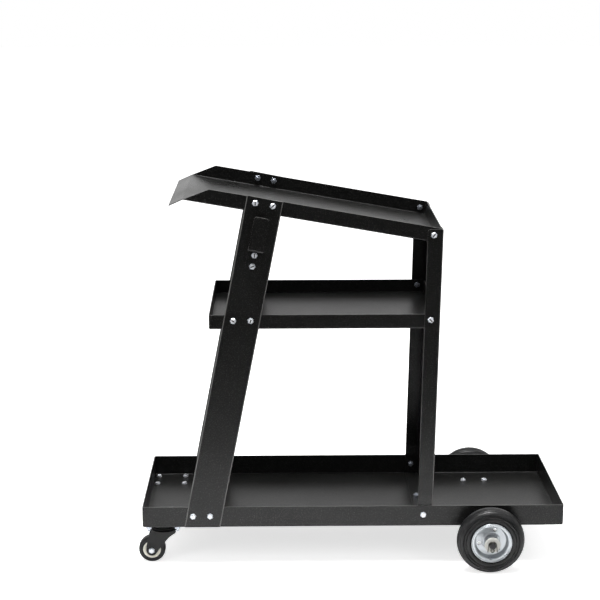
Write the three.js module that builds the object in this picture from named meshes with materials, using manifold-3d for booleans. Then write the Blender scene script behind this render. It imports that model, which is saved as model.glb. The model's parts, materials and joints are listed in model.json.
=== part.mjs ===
// Three-shelf welding cart: two swivel casters in front, two fixed wheels behind.
// Millimetres. +X runs to the rear wheels, +Y to the right side, +Z up, floor at Z = 0.
import * as THREE from 'three';
import { mergeVertices } from 'three/addons/utils/BufferGeometryUtils.js';
import Module from 'manifold-3d';

const wasm = await Module();
wasm.setup();

const DEGREE = Math.PI / 180;
const SIDES = [['left', -1], ['right', 1]];

// Sheet metal and fits
const TRAY_SHEET = 1.5;
const UPRIGHT_SHEET = 2;
const BRACKET_SHEET = 3;
const FOOT_PLATE_SHEET = 2;
const FOLD_RADIUS = 3;
const SEAT = 0.3;
const HOLE_CLEARANCE = 0.3;
const RUNNING_CLEARANCE = 0.5;
const NOTCH_CLEARANCE = 2;
const OVERRUN = 20;
const FOLD_STEPS = 3;

// Trays
const TRAY_WIDTH = 282;
const BOTTOM_FRONT = -384.5;
const BOTTOM_LENGTH = 780;
const BOTTOM_Z = 80;
const BOTTOM_WALL = 40;
const UPPER_WALL = 26.5;
const MIDDLE_OVERHANG = 56.3;
const MIDDLE_Z = 458.5;
const TOP_OVERHANG = 143.9;
const TOP_FRONT_Z = 693.5;
const TOP_TILT = 9.9 * DEGREE;
const TOP_RAMP = 42;
const TOP_LIP = 26;
const TOP_LIP_ANGLE = 34 * DEGREE;

// Front uprights: wide channels leaning to the rear
const FRONT_LEAN = 11.1 * DEGREE;
const FRONT_FROM_END = 94.9;
const FRONT_WIDTH = 65;
const FRONT_FLANGE = 16;
const FRONT_FOOT_RISE = 1;
const FRONT_OVER_WALL = 0.5;

// Rear uprights: angles, stepped inward at the foot to stand inside the bottom tray
const REAR_LEAN = 1.07 * DEGREE;
const REAR_FROM_END = 273.1;
const REAR_WIDTH = 27.7;
const REAR_FLANGE = 30;
const REAR_UNDER_WALL = 2.8;
const REAR_STEP_LENGTH = 18;
const REAR_CORNER = 4;
const REAR_HOLE_FROM_EDGE = 10.6;

// Bolts: hexagon heads with a slot, nut inside
const BOLT_DIAMETER = 6;
const BOLT_FLATS = 10;
const BOLT_HEAD = 4;
const BOLT_NUT = 5;
const BOLT_TAIL = 2;
const BOLT_GAP = 0.1;
const BOLT_TURN = 37 * DEGREE;
const SLOT_WIDTH = 1.4;
const SLOT_DEPTH = 1.4;
const BOLT_PITCH = 31.4;
const BOTTOM_BOLT_RISE = 22.8;
const BOTTOM_BOLT_SHIFT = -5.4;
const MIDDLE_BOLT_RISE = 16.5;
const TOP_FRONT_BOLT_RISE = 16.5;
const TOP_REAR_BOLT_RISE = 13;

// Cable hooks on the front uprights
const HOOK_WIDTH = 26;
const HOOK_SHEET = 2.5;
const HOOK_REACH = 35;
const HOOK_LIP = 60;
const HOOK_UNDER_TOP = 86.5;
const HOOK_BASE = 42;
const HOOK_CORNER = 5;
const HOOK_BOLT_DROP = 14;
const HOOK_BOLT_PITCH = 20.4;

// Rear axle and wheels
const AXLE_FROM_REAR = 137.8;
const AXLE_DIAMETER = 12;
const AXLE_TAIL = 3.8;
const AXLE_CHAMFER = 1;
const WHEEL_RADIUS = 62.5;
const WHEEL_GAP = 10;
const TYRE_HALF = 16;
const TYRE_CROWN = 13;
const TYRE_BEAD_INSET = 3.5;
const RIM_HALF = 17;
const RIM_DRUM = 32;
const RIM_FLANGE = 37.6;
const RIM_FLANGE_SHEET = 1.5;
const RIM_DISH = 14;
const RIM_WEB = 2.5;
const RIM_WALL = 1.7;
const RIM_HUB_WALL = 2.2;
const RIM_HUB_OUT = 7;
const RIM_HOLES = 3;
const RIM_HOLE_RADIUS = 3.3;
const RIM_HOLE_CIRCLE = 21.7;
const RIM_HOLE_TURN = -12.4 * DEGREE;
const BUSH_WALL = 3.5;
const BUSH_FLANGE = 2;
const BUSH_FLANGE_WIDTH = 5;
const AXLE_BRACKET_INSET = 29;
const AXLE_BRACKET_LENGTH = 64;
const AXLE_BRACKET_FLANGE = 36;
const AXLE_BRACKET_NOSE = 6;
const AXLE_BRACKET_BOLT_X = 21;
const AXLE_BRACKET_BOLT_IN = 20;
const SPACER_WALL = 3;
const PIN_RADIUS = 1.6;
const PIN_STANDOUT = 1;
const PIN_LEG_RADIUS = 1.1;
const PIN_LEG = 13;
const PIN_SPREAD = 6 * DEGREE;
const PIN_EYE_RADIUS = 3;

// Casters
const CASTER_INSET = 8;
const CASTER_TRAIL = 23;
const CASTER_RADIUS = 25;
const CASTER_TYRE_HALF = 9.5;
const CASTER_TYRE_CROWN = 3.5;
const CASTER_TYRE_WALL = 8.5;
const CASTER_CORE_HALF = 11;
const CASTER_CORE_RIM = 2.5;
const CASTER_CORE_DISH = 3;
const CASTER_HUB_WALL = 4;
const CASTER_PLATE_X = 74;
const CASTER_PLATE_Y = 58;
const CASTER_PLATE_SHEET = 2.5;
const CASTER_PLATE_CORNER = 6;
const CASTER_BOLT_X = 26.7;
const CASTER_BOLT_Y = 21;
const CASTER_CUP_RADIUS = 23;
const CASTER_CUP_DEPTH = 10;
const CASTER_CROWN_RADIUS = 25.5;
const FORK_SHEET = 2.5;
const FORK_SHOULDER = 2;
const FORK_HEEL = 6.5;
const FORK_END_RADIUS = 10.5;
const KINGPIN_RADIUS = 6;
const KINGPIN_HEAD_RADIUS = 9;
const KINGPIN_HEAD = 2.5;

// Materials
const PAINT = { color: 0x1d1d1b, roughness: 0.62, metalness: 0.1 };
const CASTER_PAINT = { color: 0x232322, roughness: 0.5, metalness: 0.15 };
const ZINC = { color: 0xc9ced6, roughness: 0.32, metalness: 0.85 };
const RIM_ZINC = { color: 0xb9bfca, roughness: 0.38, metalness: 0.75 };
const RUBBER = { color: 0x2b2b2d, roughness: 0.7, metalness: 0 };
const CREAM = { color: 0xe2decb, roughness: 0.5, metalness: 0 };
const AXLE_STEEL = { color: 0x1f1f20, roughness: 0.5, metalness: 0.5 };

// Faces across the cart, as distances from its middle plane
const HALF_WIDTH = TRAY_WIDTH / 2;
const TRAY_INNER = HALF_WIDTH - TRAY_SHEET;
const UPRIGHT_INNER = HALF_WIDTH + SEAT;
const UPRIGHT_OUTER = UPRIGHT_INNER + UPRIGHT_SHEET;
const HOOK_INNER = UPRIGHT_OUTER + SEAT;
const HOOK_OUTER = HOOK_INNER + HOOK_SHEET;
const REAR_FOOT_OUTER = TRAY_INNER - SEAT;
const REAR_STEP = UPRIGHT_OUTER - REAR_FOOT_OUTER;
const WHEEL_Y = HALF_WIDTH + WHEEL_GAP + TYRE_HALF;
const BRACKET_Y = HALF_WIDTH - AXLE_BRACKET_INSET;
const CASTER_Y = HALF_WIDTH - CASTER_INSET - CASTER_PLATE_Y / 2;
const HUB_END = RIM_HALF + RIM_HUB_OUT;
const PIN_Y = WHEEL_Y + HUB_END + BUSH_FLANGE + RUNNING_CLEARANCE + PIN_RADIUS;
const AXLE_HALF = PIN_Y + AXLE_TAIL;

// Places along the cart and heights
const BOTTOM_REAR = BOTTOM_FRONT + BOTTOM_LENGTH;
const FRONT_AXIS_X = BOTTOM_FRONT + FRONT_FROM_END;
const REAR_EDGE_X = BOTTOM_REAR - REAR_FROM_END;
const AXLE_X = BOTTOM_REAR - AXLE_FROM_REAR;
const CASTER_X = BOTTOM_FRONT + CASTER_PLATE_X / 2;
const BOTTOM_TOP = BOTTOM_Z + BOTTOM_WALL;
const FLOOR_TOP = BOTTOM_Z + TRAY_SHEET;
const FOOT_PLATE_Z = FLOOR_TOP + SEAT;
const REAR_FOOT_Z = FOOT_PLATE_Z + FOOT_PLATE_SHEET + SEAT;
const frontAxis = (z) => FRONT_AXIS_X + Math.tan(FRONT_LEAN) * z;
const rearEdge = (z) => REAR_EDGE_X + Math.tan(REAR_LEAN) * z;
const rearHole = (z) => rearEdge(z) + REAR_HOLE_FROM_EDGE;
const rearFlangeFront = (z) => rearEdge(z) + REAR_WIDTH - UPRIGHT_SHEET;
const MIDDLE_FRONT = frontAxis(MIDDLE_Z) - MIDDLE_OVERHANG;
const TOP_FRONT = frontAxis(TOP_FRONT_Z) - TOP_OVERHANG;
const topTrayZ = (x) => TOP_FRONT_Z - Math.tan(TOP_TILT) * (x - TOP_FRONT);

// Height at which a leaning line from the floor passes a distance above the top tray's underside
function heightOverTopTray(foot, lean, rise) {
  const level = topTrayZ(foot) + rise / Math.cos(TOP_TILT);
  return level / (1 + Math.tan(TOP_TILT) * Math.tan(lean));
}

const FRONT_TOP_Z = heightOverTopTray(FRONT_AXIS_X, FRONT_LEAN, UPPER_WALL + FRONT_OVER_WALL);
const REAR_TOP_Z = heightOverTopTray(
  REAR_EDGE_X + REAR_WIDTH / 2, REAR_LEAN, UPPER_WALL - REAR_UNDER_WALL);
const HOOK_SHELF_Z = FRONT_TOP_Z - HOOK_UNDER_TOP;
const MIDDLE_REAR = rearFlangeFront(MIDDLE_Z) - SEAT;
const TOP_REAR = rearFlangeFront(REAR_TOP_Z) - SEAT;
const TOP_LENGTH = (TOP_REAR - TOP_FRONT - UPPER_WALL * Math.sin(TOP_TILT)) / Math.cos(TOP_TILT);

// Round sizes
const HOLE_RADIUS = BOLT_DIAMETER / 2 + HOLE_CLEARANCE;
const AXLE_RADIUS = AXLE_DIAMETER / 2;
const AXLE_BORE = AXLE_RADIUS + SEAT / 2;
const BUSH_BORE = AXLE_RADIUS + RUNNING_CLEARANCE / 2;
const BUSH_RADIUS = BUSH_BORE + BUSH_WALL;
const BUSH_FLANGE_RADIUS = BUSH_RADIUS + BUSH_FLANGE_WIDTH;
const CASTER_CORE_RADIUS = CASTER_RADIUS - CASTER_TYRE_WALL;

// Caster heights, from the tray down to the wheel
const PLATE_TOP = BOTTOM_Z - SEAT;
const CUP_TOP = PLATE_TOP - CASTER_PLATE_SHEET;
const CUP_LOW = CUP_TOP - CASTER_CUP_DEPTH;
const CROWN_TOP = CUP_LOW - RUNNING_CLEARANCE;
const CROWN_LOW = CROWN_TOP - FORK_SHEET;
const FORK_INNER = CASTER_CORE_HALF + RUNNING_CLEARANCE;
const FORK_OUTER = FORK_INNER + FORK_SHEET;

// Solids and their combination
function solidOf(geometry) {
  const bare = geometry.clone();
  bare.deleteAttribute('normal');
  bare.deleteAttribute('uv');
  const merged = mergeVertices(bare, 1e-4);
  const vertProperties = new Float32Array(merged.attributes.position.array);
  const triVerts = new Uint32Array(merged.index.array);
  return new wasm.Manifold(new wasm.Mesh({ numProp: 3, vertProperties, triVerts }));
}

function geometryOf(solid) {
  const mesh = solid.getMesh();
  const geometry = new THREE.BufferGeometry();
  geometry.setAttribute('position', new THREE.BufferAttribute(new Float32Array(mesh.vertProperties), 3));
  geometry.setIndex(new THREE.BufferAttribute(new Uint32Array(mesh.triVerts), 1));
  geometry.computeVertexNormals();
  return geometry;
}

function combine(base, added, removed) {
  let solid = solidOf(base);
  for (const piece of added) {
    solid = solid.add(solidOf(piece));
  }
  for (const piece of removed) {
    solid = solid.subtract(solidOf(piece));
  }
  return geometryOf(solid);
}

function common(first, second) {
  return geometryOf(solidOf(first).intersect(solidOf(second)));
}

// Basic shapes
function block(x0, x1, y0, y1, z0, z1) {
  const geometry = new THREE.BoxGeometry(x1 - x0, Math.abs(y1 - y0), z1 - z0);
  return geometry.translate((x0 + x1) / 2, (y0 + y1) / 2, (z0 + z1) / 2);
}

function rodAlongY(radius, y0, y1, x, z, segments = 10) {
  const geometry = new THREE.CylinderGeometry(radius, radius, Math.abs(y1 - y0), segments);
  return geometry.translate(x, (y0 + y1) / 2, z);
}

function rodAlongZ(radius, z0, z1, x, y, segments = 10) {
  const geometry = new THREE.CylinderGeometry(radius, radius, z1 - z0, segments);
  return geometry.rotateX(Math.PI / 2).translate(x, y, (z0 + z1) / 2);
}

function outline(points) {
  return new THREE.Shape(points.map(([a, b]) => new THREE.Vector2(a, b)));
}

function extrude(shape, depth, steps = 1) {
  return new THREE.ExtrudeGeometry(shape, { depth, steps, bevelEnabled: false, curveSegments: 6 });
}

// Side outline in X and Z, carried across from y0 to y1
function acrossY(shape, y0, y1) {
  return extrude(shape, y1 - y0).rotateX(Math.PI / 2).translate(0, y1, 0);
}

// End outline in Y and Z, carried along from x0 to x1
function alongX(shape, x0, x1) {
  const turn = new THREE.Matrix4().makeBasis(
    new THREE.Vector3(0, 1, 0), new THREE.Vector3(0, 0, 1), new THREE.Vector3(1, 0, 0));
  return extrude(shape, x1 - x0).applyMatrix4(turn).translate(x0, 0, 0);
}

function roundedRectangle(x0, x1, y0, y1, radius) {
  const shape = new THREE.Shape();
  shape.absarc(x1 - radius, y1 - radius, radius, 0, Math.PI / 2);
  shape.absarc(x0 + radius, y1 - radius, radius, Math.PI / 2, Math.PI);
  shape.absarc(x0 + radius, y0 + radius, radius, Math.PI, 1.5 * Math.PI);
  shape.absarc(x1 - radius, y0 + radius, radius, 1.5 * Math.PI, 2 * Math.PI);
  return shape;
}

// Points of an arc about a centre, both ends included
function arc(cx, cy, radius, from, to, steps) {
  const points = [];
  for (let i = 0; i <= steps; i += 1) {
    const angle = from + (to - from) * i / steps;
    points.push([cx + radius * Math.cos(angle), cy + radius * Math.sin(angle)]);
  }
  return points;
}

// Turned piece about the Y axis from a closed outline of radius and distance along the axis
function turned(points, segments) {
  const profile = points.map(([radius, along]) => new THREE.Vector2(radius, along));
  if (THREE.ShapeUtils.isClockWise(profile)) {
    profile.reverse();
  }
  return new THREE.LatheGeometry([...profile, profile[0]], segments);
}

function mirrored(points) {
  return points.map(([radius, along]) => [radius, -along]).reverse();
}

// Block with its bottom edges and upright corners rounded, as folded sheet is
function softBlock(x0, x1, y0, y1, z0, z1, radius) {
  const shape = roundedRectangle(x0 + radius, x1 - radius, y0 + radius, y1 - radius, radius / 4);
  const geometry = new THREE.ExtrudeGeometry(shape, {
    depth: z1 - z0 - 2 * radius,
    bevelThickness: radius,
    bevelSize: radius,
    bevelSegments: 2,
    curveSegments: 2,
  });
  return geometry.translate(0, 0, z0 + radius);
}

// Open tray folded from one sheet
function tray(x0, x1, z0, wall) {
  const outer = softBlock(x0, x1, -HALF_WIDTH, HALF_WIDTH, z0, z0 + wall + OVERRUN, FOLD_RADIUS);
  const inner = softBlock(x0 + TRAY_SHEET, x1 - TRAY_SHEET, -TRAY_INNER, TRAY_INNER,
    z0 + TRAY_SHEET, z0 + wall + 2 * OVERRUN, FOLD_RADIUS - TRAY_SHEET);
  const above = block(x0 - OVERRUN, x1 + OVERRUN, -TRAY_WIDTH, TRAY_WIDTH,
    z0 + wall, z0 + wall + 3 * OVERRUN);
  return combine(outer, [], [inner, above]);
}

// Bolt places as [name, x, z], the same on both sides
function boltPair(name, x, z, tilt) {
  const dx = Math.cos(tilt) * BOLT_PITCH / 2;
  const dz = Math.sin(tilt) * BOLT_PITCH / 2;
  return [[`${name}_1`, x - dx, z + dz], [`${name}_2`, x + dx, z - dz]];
}

const BOTTOM_BOLT_Z = BOTTOM_Z + BOTTOM_BOLT_RISE;
const MIDDLE_BOLT_Z = MIDDLE_Z + MIDDLE_BOLT_RISE;
const TOP_FRONT_BOLT_Z = heightOverTopTray(FRONT_AXIS_X, FRONT_LEAN, TOP_FRONT_BOLT_RISE);
const TOP_REAR_BOLT_Z = heightOverTopTray(rearHole(0), REAR_LEAN, TOP_REAR_BOLT_RISE);
const HOOK_BOLT_Z = HOOK_SHELF_Z - HOOK_BOLT_DROP;
const HOOK_BOLT_LOW_Z = HOOK_BOLT_Z - HOOK_BOLT_PITCH * Math.cos(FRONT_LEAN);
const BOTTOM_BOLT_X = frontAxis(BOTTOM_BOLT_Z) + BOTTOM_BOLT_SHIFT;
const FOOT_BOLT_X = rearHole(FOOT_PLATE_Z);

const bottomFrontBolts = boltPair('bottom_front', BOTTOM_BOLT_X, BOTTOM_BOLT_Z, 0);
const middleFrontBolts = boltPair('middle_front', frontAxis(MIDDLE_BOLT_Z), MIDDLE_BOLT_Z, 0);
const topFrontBolts = boltPair('top_front', frontAxis(TOP_FRONT_BOLT_Z), TOP_FRONT_BOLT_Z, TOP_TILT);
const hookBolts = [
  ['hook_1', frontAxis(HOOK_BOLT_Z), HOOK_BOLT_Z],
  ['hook_2', frontAxis(HOOK_BOLT_LOW_Z), HOOK_BOLT_LOW_Z],
];
const bottomRearBolts = [['bottom_rear', rearHole(BOTTOM_BOLT_Z), BOTTOM_BOLT_Z]];
const middleRearBolts = [['middle_rear', rearHole(MIDDLE_BOLT_Z), MIDDLE_BOLT_Z]];
const topRearBolts = [['top_rear', rearHole(TOP_REAR_BOLT_Z), TOP_REAR_BOLT_Z]];

function sideHoles(bolts) {
  return bolts.map(([, x, z]) => rodAlongY(HOLE_RADIUS, -TRAY_WIDTH, TRAY_WIDTH, x, z));
}

// Floor hole places: axle brackets as [name, x, y], caster plates as [x, y]
const bracketBolts = [];
const casterHoles = [];
for (const [name, side] of SIDES) {
  for (const [end, step] of [['front', -1], ['rear', 1]]) {
    const x = AXLE_X + step * AXLE_BRACKET_BOLT_X;
    bracketBolts.push([`bracket_${end}_${name}`, x, side * (BRACKET_Y - AXLE_BRACKET_BOLT_IN)]);
    for (const across of [-1, 1]) {
      casterHoles.push([CASTER_X + step * CASTER_BOLT_X, side * CASTER_Y + across * CASTER_BOLT_Y]);
    }
  }
}

function floorHole(x, y) {
  return rodAlongZ(HOLE_RADIUS, BOTTOM_Z - OVERRUN, BOTTOM_Z + OVERRUN, x, y);
}

// Bottom and middle trays
function bottomTray() {
  const holes = [
    ...sideHoles([...bottomFrontBolts, ...bottomRearBolts]),
    ...casterHoles.map(([x, y]) => floorHole(x, y)),
    ...bracketBolts.map(([, x, y]) => floorHole(x, y)),
    floorHole(FOOT_BOLT_X, 0),
  ];
  return combine(tray(BOTTOM_FRONT, BOTTOM_REAR, BOTTOM_Z, BOTTOM_WALL), [], holes);
}

function middleTray() {
  const holes = sideHoles([...middleFrontBolts, ...middleRearBolts]);
  return combine(tray(MIDDLE_FRONT, MIDDLE_REAR, MIDDLE_Z, UPPER_WALL), [], holes);
}

// Top tray: walls on three sides, the front runs out over a ramp into a lip folded down
function topTray() {
  const pan = tray(-2 * OVERRUN, TOP_LENGTH, 0, UPPER_WALL);
  const ahead = block(-4 * OVERRUN, 0, -TRAY_WIDTH, TRAY_WIDTH, -OVERRUN, UPPER_WALL + OVERRUN);
  const ramp = outline([
    [-OVERRUN, TRAY_SHEET],
    [0, TRAY_SHEET],
    [TOP_RAMP, UPPER_WALL],
    [TOP_RAMP, UPPER_WALL + OVERRUN],
    [-OVERRUN, UPPER_WALL + OVERRUN],
  ]);
  const overRamp = acrossY(ramp, -TRAY_WIDTH, TRAY_WIDTH);
  const from = Math.PI / 2;
  const to = from + TOP_LIP_ANGLE;
  const under = arc(0, -FOLD_RADIUS, FOLD_RADIUS, from, to, FOLD_STEPS);
  const over = arc(0, -FOLD_RADIUS, FOLD_RADIUS + TRAY_SHEET, from, to, FOLD_STEPS);
  const run = ([x, z]) => [
    x - TOP_LIP * Math.cos(TOP_LIP_ANGLE),
    z - TOP_LIP * Math.sin(TOP_LIP_ANGLE),
  ];
  const root = [[FOLD_RADIUS, TRAY_SHEET], [FOLD_RADIUS, 0]];
  const ends = [run(under[FOLD_STEPS]), run(over[FOLD_STEPS])];
  const lip = outline([...root, ...under, ...ends, ...over.reverse()]);
  const lipPlate = acrossY(lip, -TRAY_INNER, TRAY_INNER);
  const place = new THREE.Matrix4().makeRotationY(TOP_TILT).setPosition(TOP_FRONT, 0, TOP_FRONT_Z);
  const body = combine(combine(pan, [], [ahead, overRamp]), [lipPlate], []).applyMatrix4(place);
  return combine(body, [], sideHoles([...topFrontBolts, ...topRearBolts]));
}

// Channel outline in X and Y, web outward, both folds rounded
function channelOutline(side) {
  const half = FRONT_WIDTH / 2;
  const end = UPRIGHT_OUTER - FRONT_FLANGE;
  const cx = half - FOLD_RADIUS;
  const cy = UPRIGHT_OUTER - FOLD_RADIUS;
  const outer = [[half, end], ...arc(cx, cy, FOLD_RADIUS, 0, Math.PI / 2, FOLD_STEPS)];
  const inner = [
    [half - UPRIGHT_SHEET, end],
    ...arc(cx, cy, FOLD_RADIUS - UPRIGHT_SHEET, 0, Math.PI / 2, FOLD_STEPS),
  ].reverse();
  const flip = (points) => points.map(([x, y]) => [-x, y]).reverse();
  const points = [...outer, ...flip(outer), ...flip(inner), ...inner];
  return outline(points.map(([x, y]) => [x, side * y]));
}

function frontUpright(side) {
  const channel = extrude(channelOutline(side), FRONT_TOP_Z / Math.cos(FRONT_LEAN))
    .rotateY(FRONT_LEAN)
    .translate(FRONT_AXIS_X, 0, 0);
  const from = frontAxis(0) - 2 * FRONT_WIDTH;
  const to = frontAxis(FRONT_TOP_Z) + 2 * FRONT_WIDTH;
  const foot = BOTTOM_Z + FRONT_FOOT_RISE;
  const notch = (z0, z1) => block(from, to, 0, side * UPRIGHT_INNER, z0, z1);
  const below = block(from, to, -TRAY_WIDTH, TRAY_WIDTH, -FRONT_WIDTH, foot);
  const bottomNotch = notch(0, BOTTOM_TOP + NOTCH_CLEARANCE);
  const middleNotch = notch(MIDDLE_Z - NOTCH_CLEARANCE, MIDDLE_Z + UPPER_WALL + NOTCH_CLEARANCE);
  const topNotch = notch(-NOTCH_CLEARANCE, UPPER_WALL + 2 * OVERRUN)
    .translate(-TOP_FRONT, 0, 0)
    .rotateY(TOP_TILT)
    .translate(TOP_FRONT, 0, TOP_FRONT_Z);
  const holes = sideHoles([...bottomFrontBolts, ...middleFrontBolts, ...topFrontBolts, ...hookBolts]);
  return combine(channel, [], [below, bottomNotch, middleNotch, topNotch, ...holes]);
}

// Angle outline in X and Y with a rounded fold at its outer rear corner
function angleOutline(side) {
  const cx = REAR_WIDTH - FOLD_RADIUS;
  const cy = UPRIGHT_OUTER - FOLD_RADIUS;
  const end = UPRIGHT_OUTER - REAR_FLANGE;
  const points = [
    [REAR_WIDTH, end],
    ...arc(cx, cy, FOLD_RADIUS, 0, Math.PI / 2, FOLD_STEPS),
    [0, UPRIGHT_OUTER],
    [0, UPRIGHT_INNER],
    ...arc(cx, cy, FOLD_RADIUS - UPRIGHT_SHEET, Math.PI / 2, 0, FOLD_STEPS),
    [REAR_WIDTH - UPRIGHT_SHEET, end],
  ];
  return outline(points.map(([x, y]) => [x, side * y]));
}

function rearUpright(side) {
  const stepLow = BOTTOM_TOP + NOTCH_CLEARANCE;
  const length = REAR_TOP_Z / Math.cos(REAR_LEAN);
  const levels = [0, stepLow, stepLow + REAR_STEP_LENGTH, length];
  const shifts = [REAR_STEP, REAR_STEP, 0, 0];
  const last = levels.length - 1;
  const angle = extrude(angleOutline(side), last, last);
  const places = angle.attributes.position;
  for (let i = 0; i < places.count; i += 1) {
    const level = Math.round(places.getZ(i));
    places.setY(i, places.getY(i) - side * shifts[level]);
    places.setZ(i, levels[level]);
  }
  const square = length - REAR_CORNER;
  const corner = outline([
    ...arc(REAR_CORNER, square, REAR_CORNER, Math.PI, Math.PI / 2, FOLD_STEPS),
    [REAR_CORNER, length + OVERRUN],
    [-OVERRUN, length + OVERRUN],
    [-OVERRUN, square],
  ]);
  const overCorner = acrossY(corner, -TRAY_WIDTH, TRAY_WIDTH);
  const body = combine(angle, [], [overCorner]).rotateY(REAR_LEAN).translate(REAR_EDGE_X, 0, 0);
  const from = REAR_EDGE_X - REAR_WIDTH;
  const to = REAR_EDGE_X + 2 * REAR_WIDTH;
  const below = block(from, to, -TRAY_WIDTH, TRAY_WIDTH, -OVERRUN, REAR_FOOT_Z);
  const holes = sideHoles([...bottomRearBolts, ...middleRearBolts, ...topRearBolts]);
  return combine(body, [], [below, ...holes]);
}

// Flat strip on the tray floor that the rear uprights stand on
function footPlate() {
  const x0 = rearEdge(FOOT_PLATE_Z);
  const y = REAR_FOOT_OUTER - FOLD_RADIUS;
  const plate = block(x0, x0 + REAR_WIDTH, -y, y, FOOT_PLATE_Z, FOOT_PLATE_Z + FOOT_PLATE_SHEET);
  return combine(plate, [], [floorHole(FOOT_BOLT_X, 0)]);
}

// Hook strip: bolted base, shelf outward, lip up
function cableHook(side) {
  const near = HOOK_INNER;
  const far = HOOK_INNER + HOOK_REACH;
  const sheet = HOOK_SHEET;
  const shelf = HOOK_SHELF_Z / Math.cos(FRONT_LEAN);
  const low = shelf - HOOK_BASE;
  const high = shelf + HOOK_LIP;
  const points = [
    [near, low],
    [near, shelf - sheet / 2],
    [near + sheet / 2, shelf],
    [far - 1.5 * sheet, shelf],
    [far - sheet, shelf + sheet / 2],
    [far - sheet, high],
    [far, high],
    [far, shelf],
    [far - sheet, shelf - sheet],
    [near + sheet, shelf - sheet],
    [near + sheet, low],
  ];
  const half = HOOK_WIDTH / 2;
  const strip = alongX(outline(points.map(([y, z]) => [side * y, z])), -half, half);
  const face = roundedRectangle(-half, half, low, high, HOOK_CORNER);
  const body = common(strip, acrossY(face, -2 * TRAY_WIDTH, 2 * TRAY_WIDTH))
    .rotateY(FRONT_LEAN)
    .translate(FRONT_AXIS_X, 0, 0);
  const holes = hookBolts.map(([, x, z]) => rodAlongY(HOLE_RADIUS, 0, side * TRAY_WIDTH, x, z));
  return combine(body, [], holes);
}

// Bolt along +Y with its head at -Y and the nut behind the grip
function bolt(grip) {
  const hexRadius = BOLT_FLATS / Math.sqrt(3);
  const headTop = -BOLT_GAP - BOLT_HEAD;
  const nutLow = grip + BOLT_GAP;
  const nutTop = nutLow + BOLT_NUT;
  const head = rodAlongY(hexRadius, headTop, -BOLT_GAP, 0, 0, 6);
  const shank = rodAlongY(BOLT_DIAMETER / 2, headTop / 2, nutTop + BOLT_TAIL, 0, 0, 8);
  const nut = rodAlongY(hexRadius, nutLow, nutTop, 0, 0, 6);
  const half = SLOT_WIDTH / 2;
  const slot = block(-BOLT_FLATS, BOLT_FLATS, 2 * headTop, headTop + SLOT_DEPTH, -half, half);
  return combine(head, [shank, nut], [slot]);
}

// Axle bracket: flange under the tray, web down to the axle
function axleBracket(side) {
  const sheet = BRACKET_SHEET;
  const nose = AXLE_RADIUS + AXLE_BRACKET_NOSE;
  const top = BOTTOM_Z - SEAT;
  const low = WHEEL_RADIUS - nose - sheet;
  const inner = BRACKET_Y - AXLE_BRACKET_FLANGE;
  const points = [
    [BRACKET_Y, low],
    [BRACKET_Y, top - sheet / 2],
    [BRACKET_Y - sheet / 2, top],
    [inner, top],
    [inner, top - sheet],
    [BRACKET_Y - sheet, top - sheet],
    [BRACKET_Y - sheet, low],
  ];
  const half = AXLE_BRACKET_LENGTH / 2;
  const angle = alongX(outline(points.map(([y, z]) => [side * y, z])), AXLE_X - half, AXLE_X + half);
  const face = outline([
    [AXLE_X + half, top + sheet],
    [AXLE_X - half, top + sheet],
    [AXLE_X - half, top - 2 * sheet],
    ...arc(AXLE_X, WHEEL_RADIUS, nose, Math.PI, 2 * Math.PI, 2 * FOLD_STEPS),
    [AXLE_X + half, top - 2 * sheet],
  ]);
  const body = common(angle, acrossY(face, -TRAY_WIDTH, TRAY_WIDTH));
  const bore = rodAlongY(AXLE_BORE, -TRAY_WIDTH, TRAY_WIDTH, AXLE_X, WHEEL_RADIUS, 24);
  const holes = bracketBolts.map(([, x, y]) => floorHole(x, y));
  return combine(body, [], [bore, ...holes]);
}

function rearAxle() {
  const shoulder = AXLE_HALF - AXLE_CHAMFER;
  const rod = turned([
    [0, -AXLE_HALF],
    [AXLE_RADIUS - AXLE_CHAMFER, -AXLE_HALF],
    [AXLE_RADIUS, -shoulder],
    [AXLE_RADIUS, shoulder],
    [AXLE_RADIUS - AXLE_CHAMFER, AXLE_HALF],
    [0, AXLE_HALF],
  ], 24);
  const reach = 2 * AXLE_RADIUS;
  const holes = SIDES.map(([, side]) => rodAlongZ(PIN_RADIUS + SEAT, -reach, reach, 0, side * PIN_Y));
  return combine(rod, [], holes);
}

// Tube that keeps the wheel off the bracket
function axleSpacer() {
  const near = BRACKET_Y + SEAT;
  const far = WHEEL_Y - RIM_HALF - BUSH_FLANGE - RUNNING_CLEARANCE;
  const wall = AXLE_BORE + SPACER_WALL;
  return turned([[AXLE_BORE, near], [wall, near], [wall, far], [AXLE_BORE, far]], 24);
}

// Split pin up through the axle, eye below, legs bent down over both sides
function splitPin() {
  const ring = AXLE_RADIUS + SEAT + PIN_LEG_RADIUS;
  const low = AXLE_RADIUS + PIN_STANDOUT;
  const rod = rodAlongZ(PIN_RADIUS, -low, ring, 0, 0);
  const eye = new THREE.TorusGeometry(PIN_EYE_RADIUS, PIN_LEG_RADIUS, 6, 12)
    .rotateX(Math.PI / 2)
    .translate(0, 0, -low - PIN_EYE_RADIUS);
  const bow = new THREE.TorusGeometry(ring, PIN_LEG_RADIUS, 6, 20).rotateX(Math.PI / 2);
  const below = block(-2 * ring, 2 * ring, -ring, ring, -2 * ring, 0);
  const legs = [-1, 1].map((hand) => rodAlongZ(PIN_LEG_RADIUS, -PIN_LEG, PIN_LEG_RADIUS / 2, 0, 0, 8)
    .rotateY(-hand * PIN_SPREAD)
    .translate(hand * ring, 0, 0));
  return combine(combine(bow, [], [below]), [rod, eye, ...legs], []);
}

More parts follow.
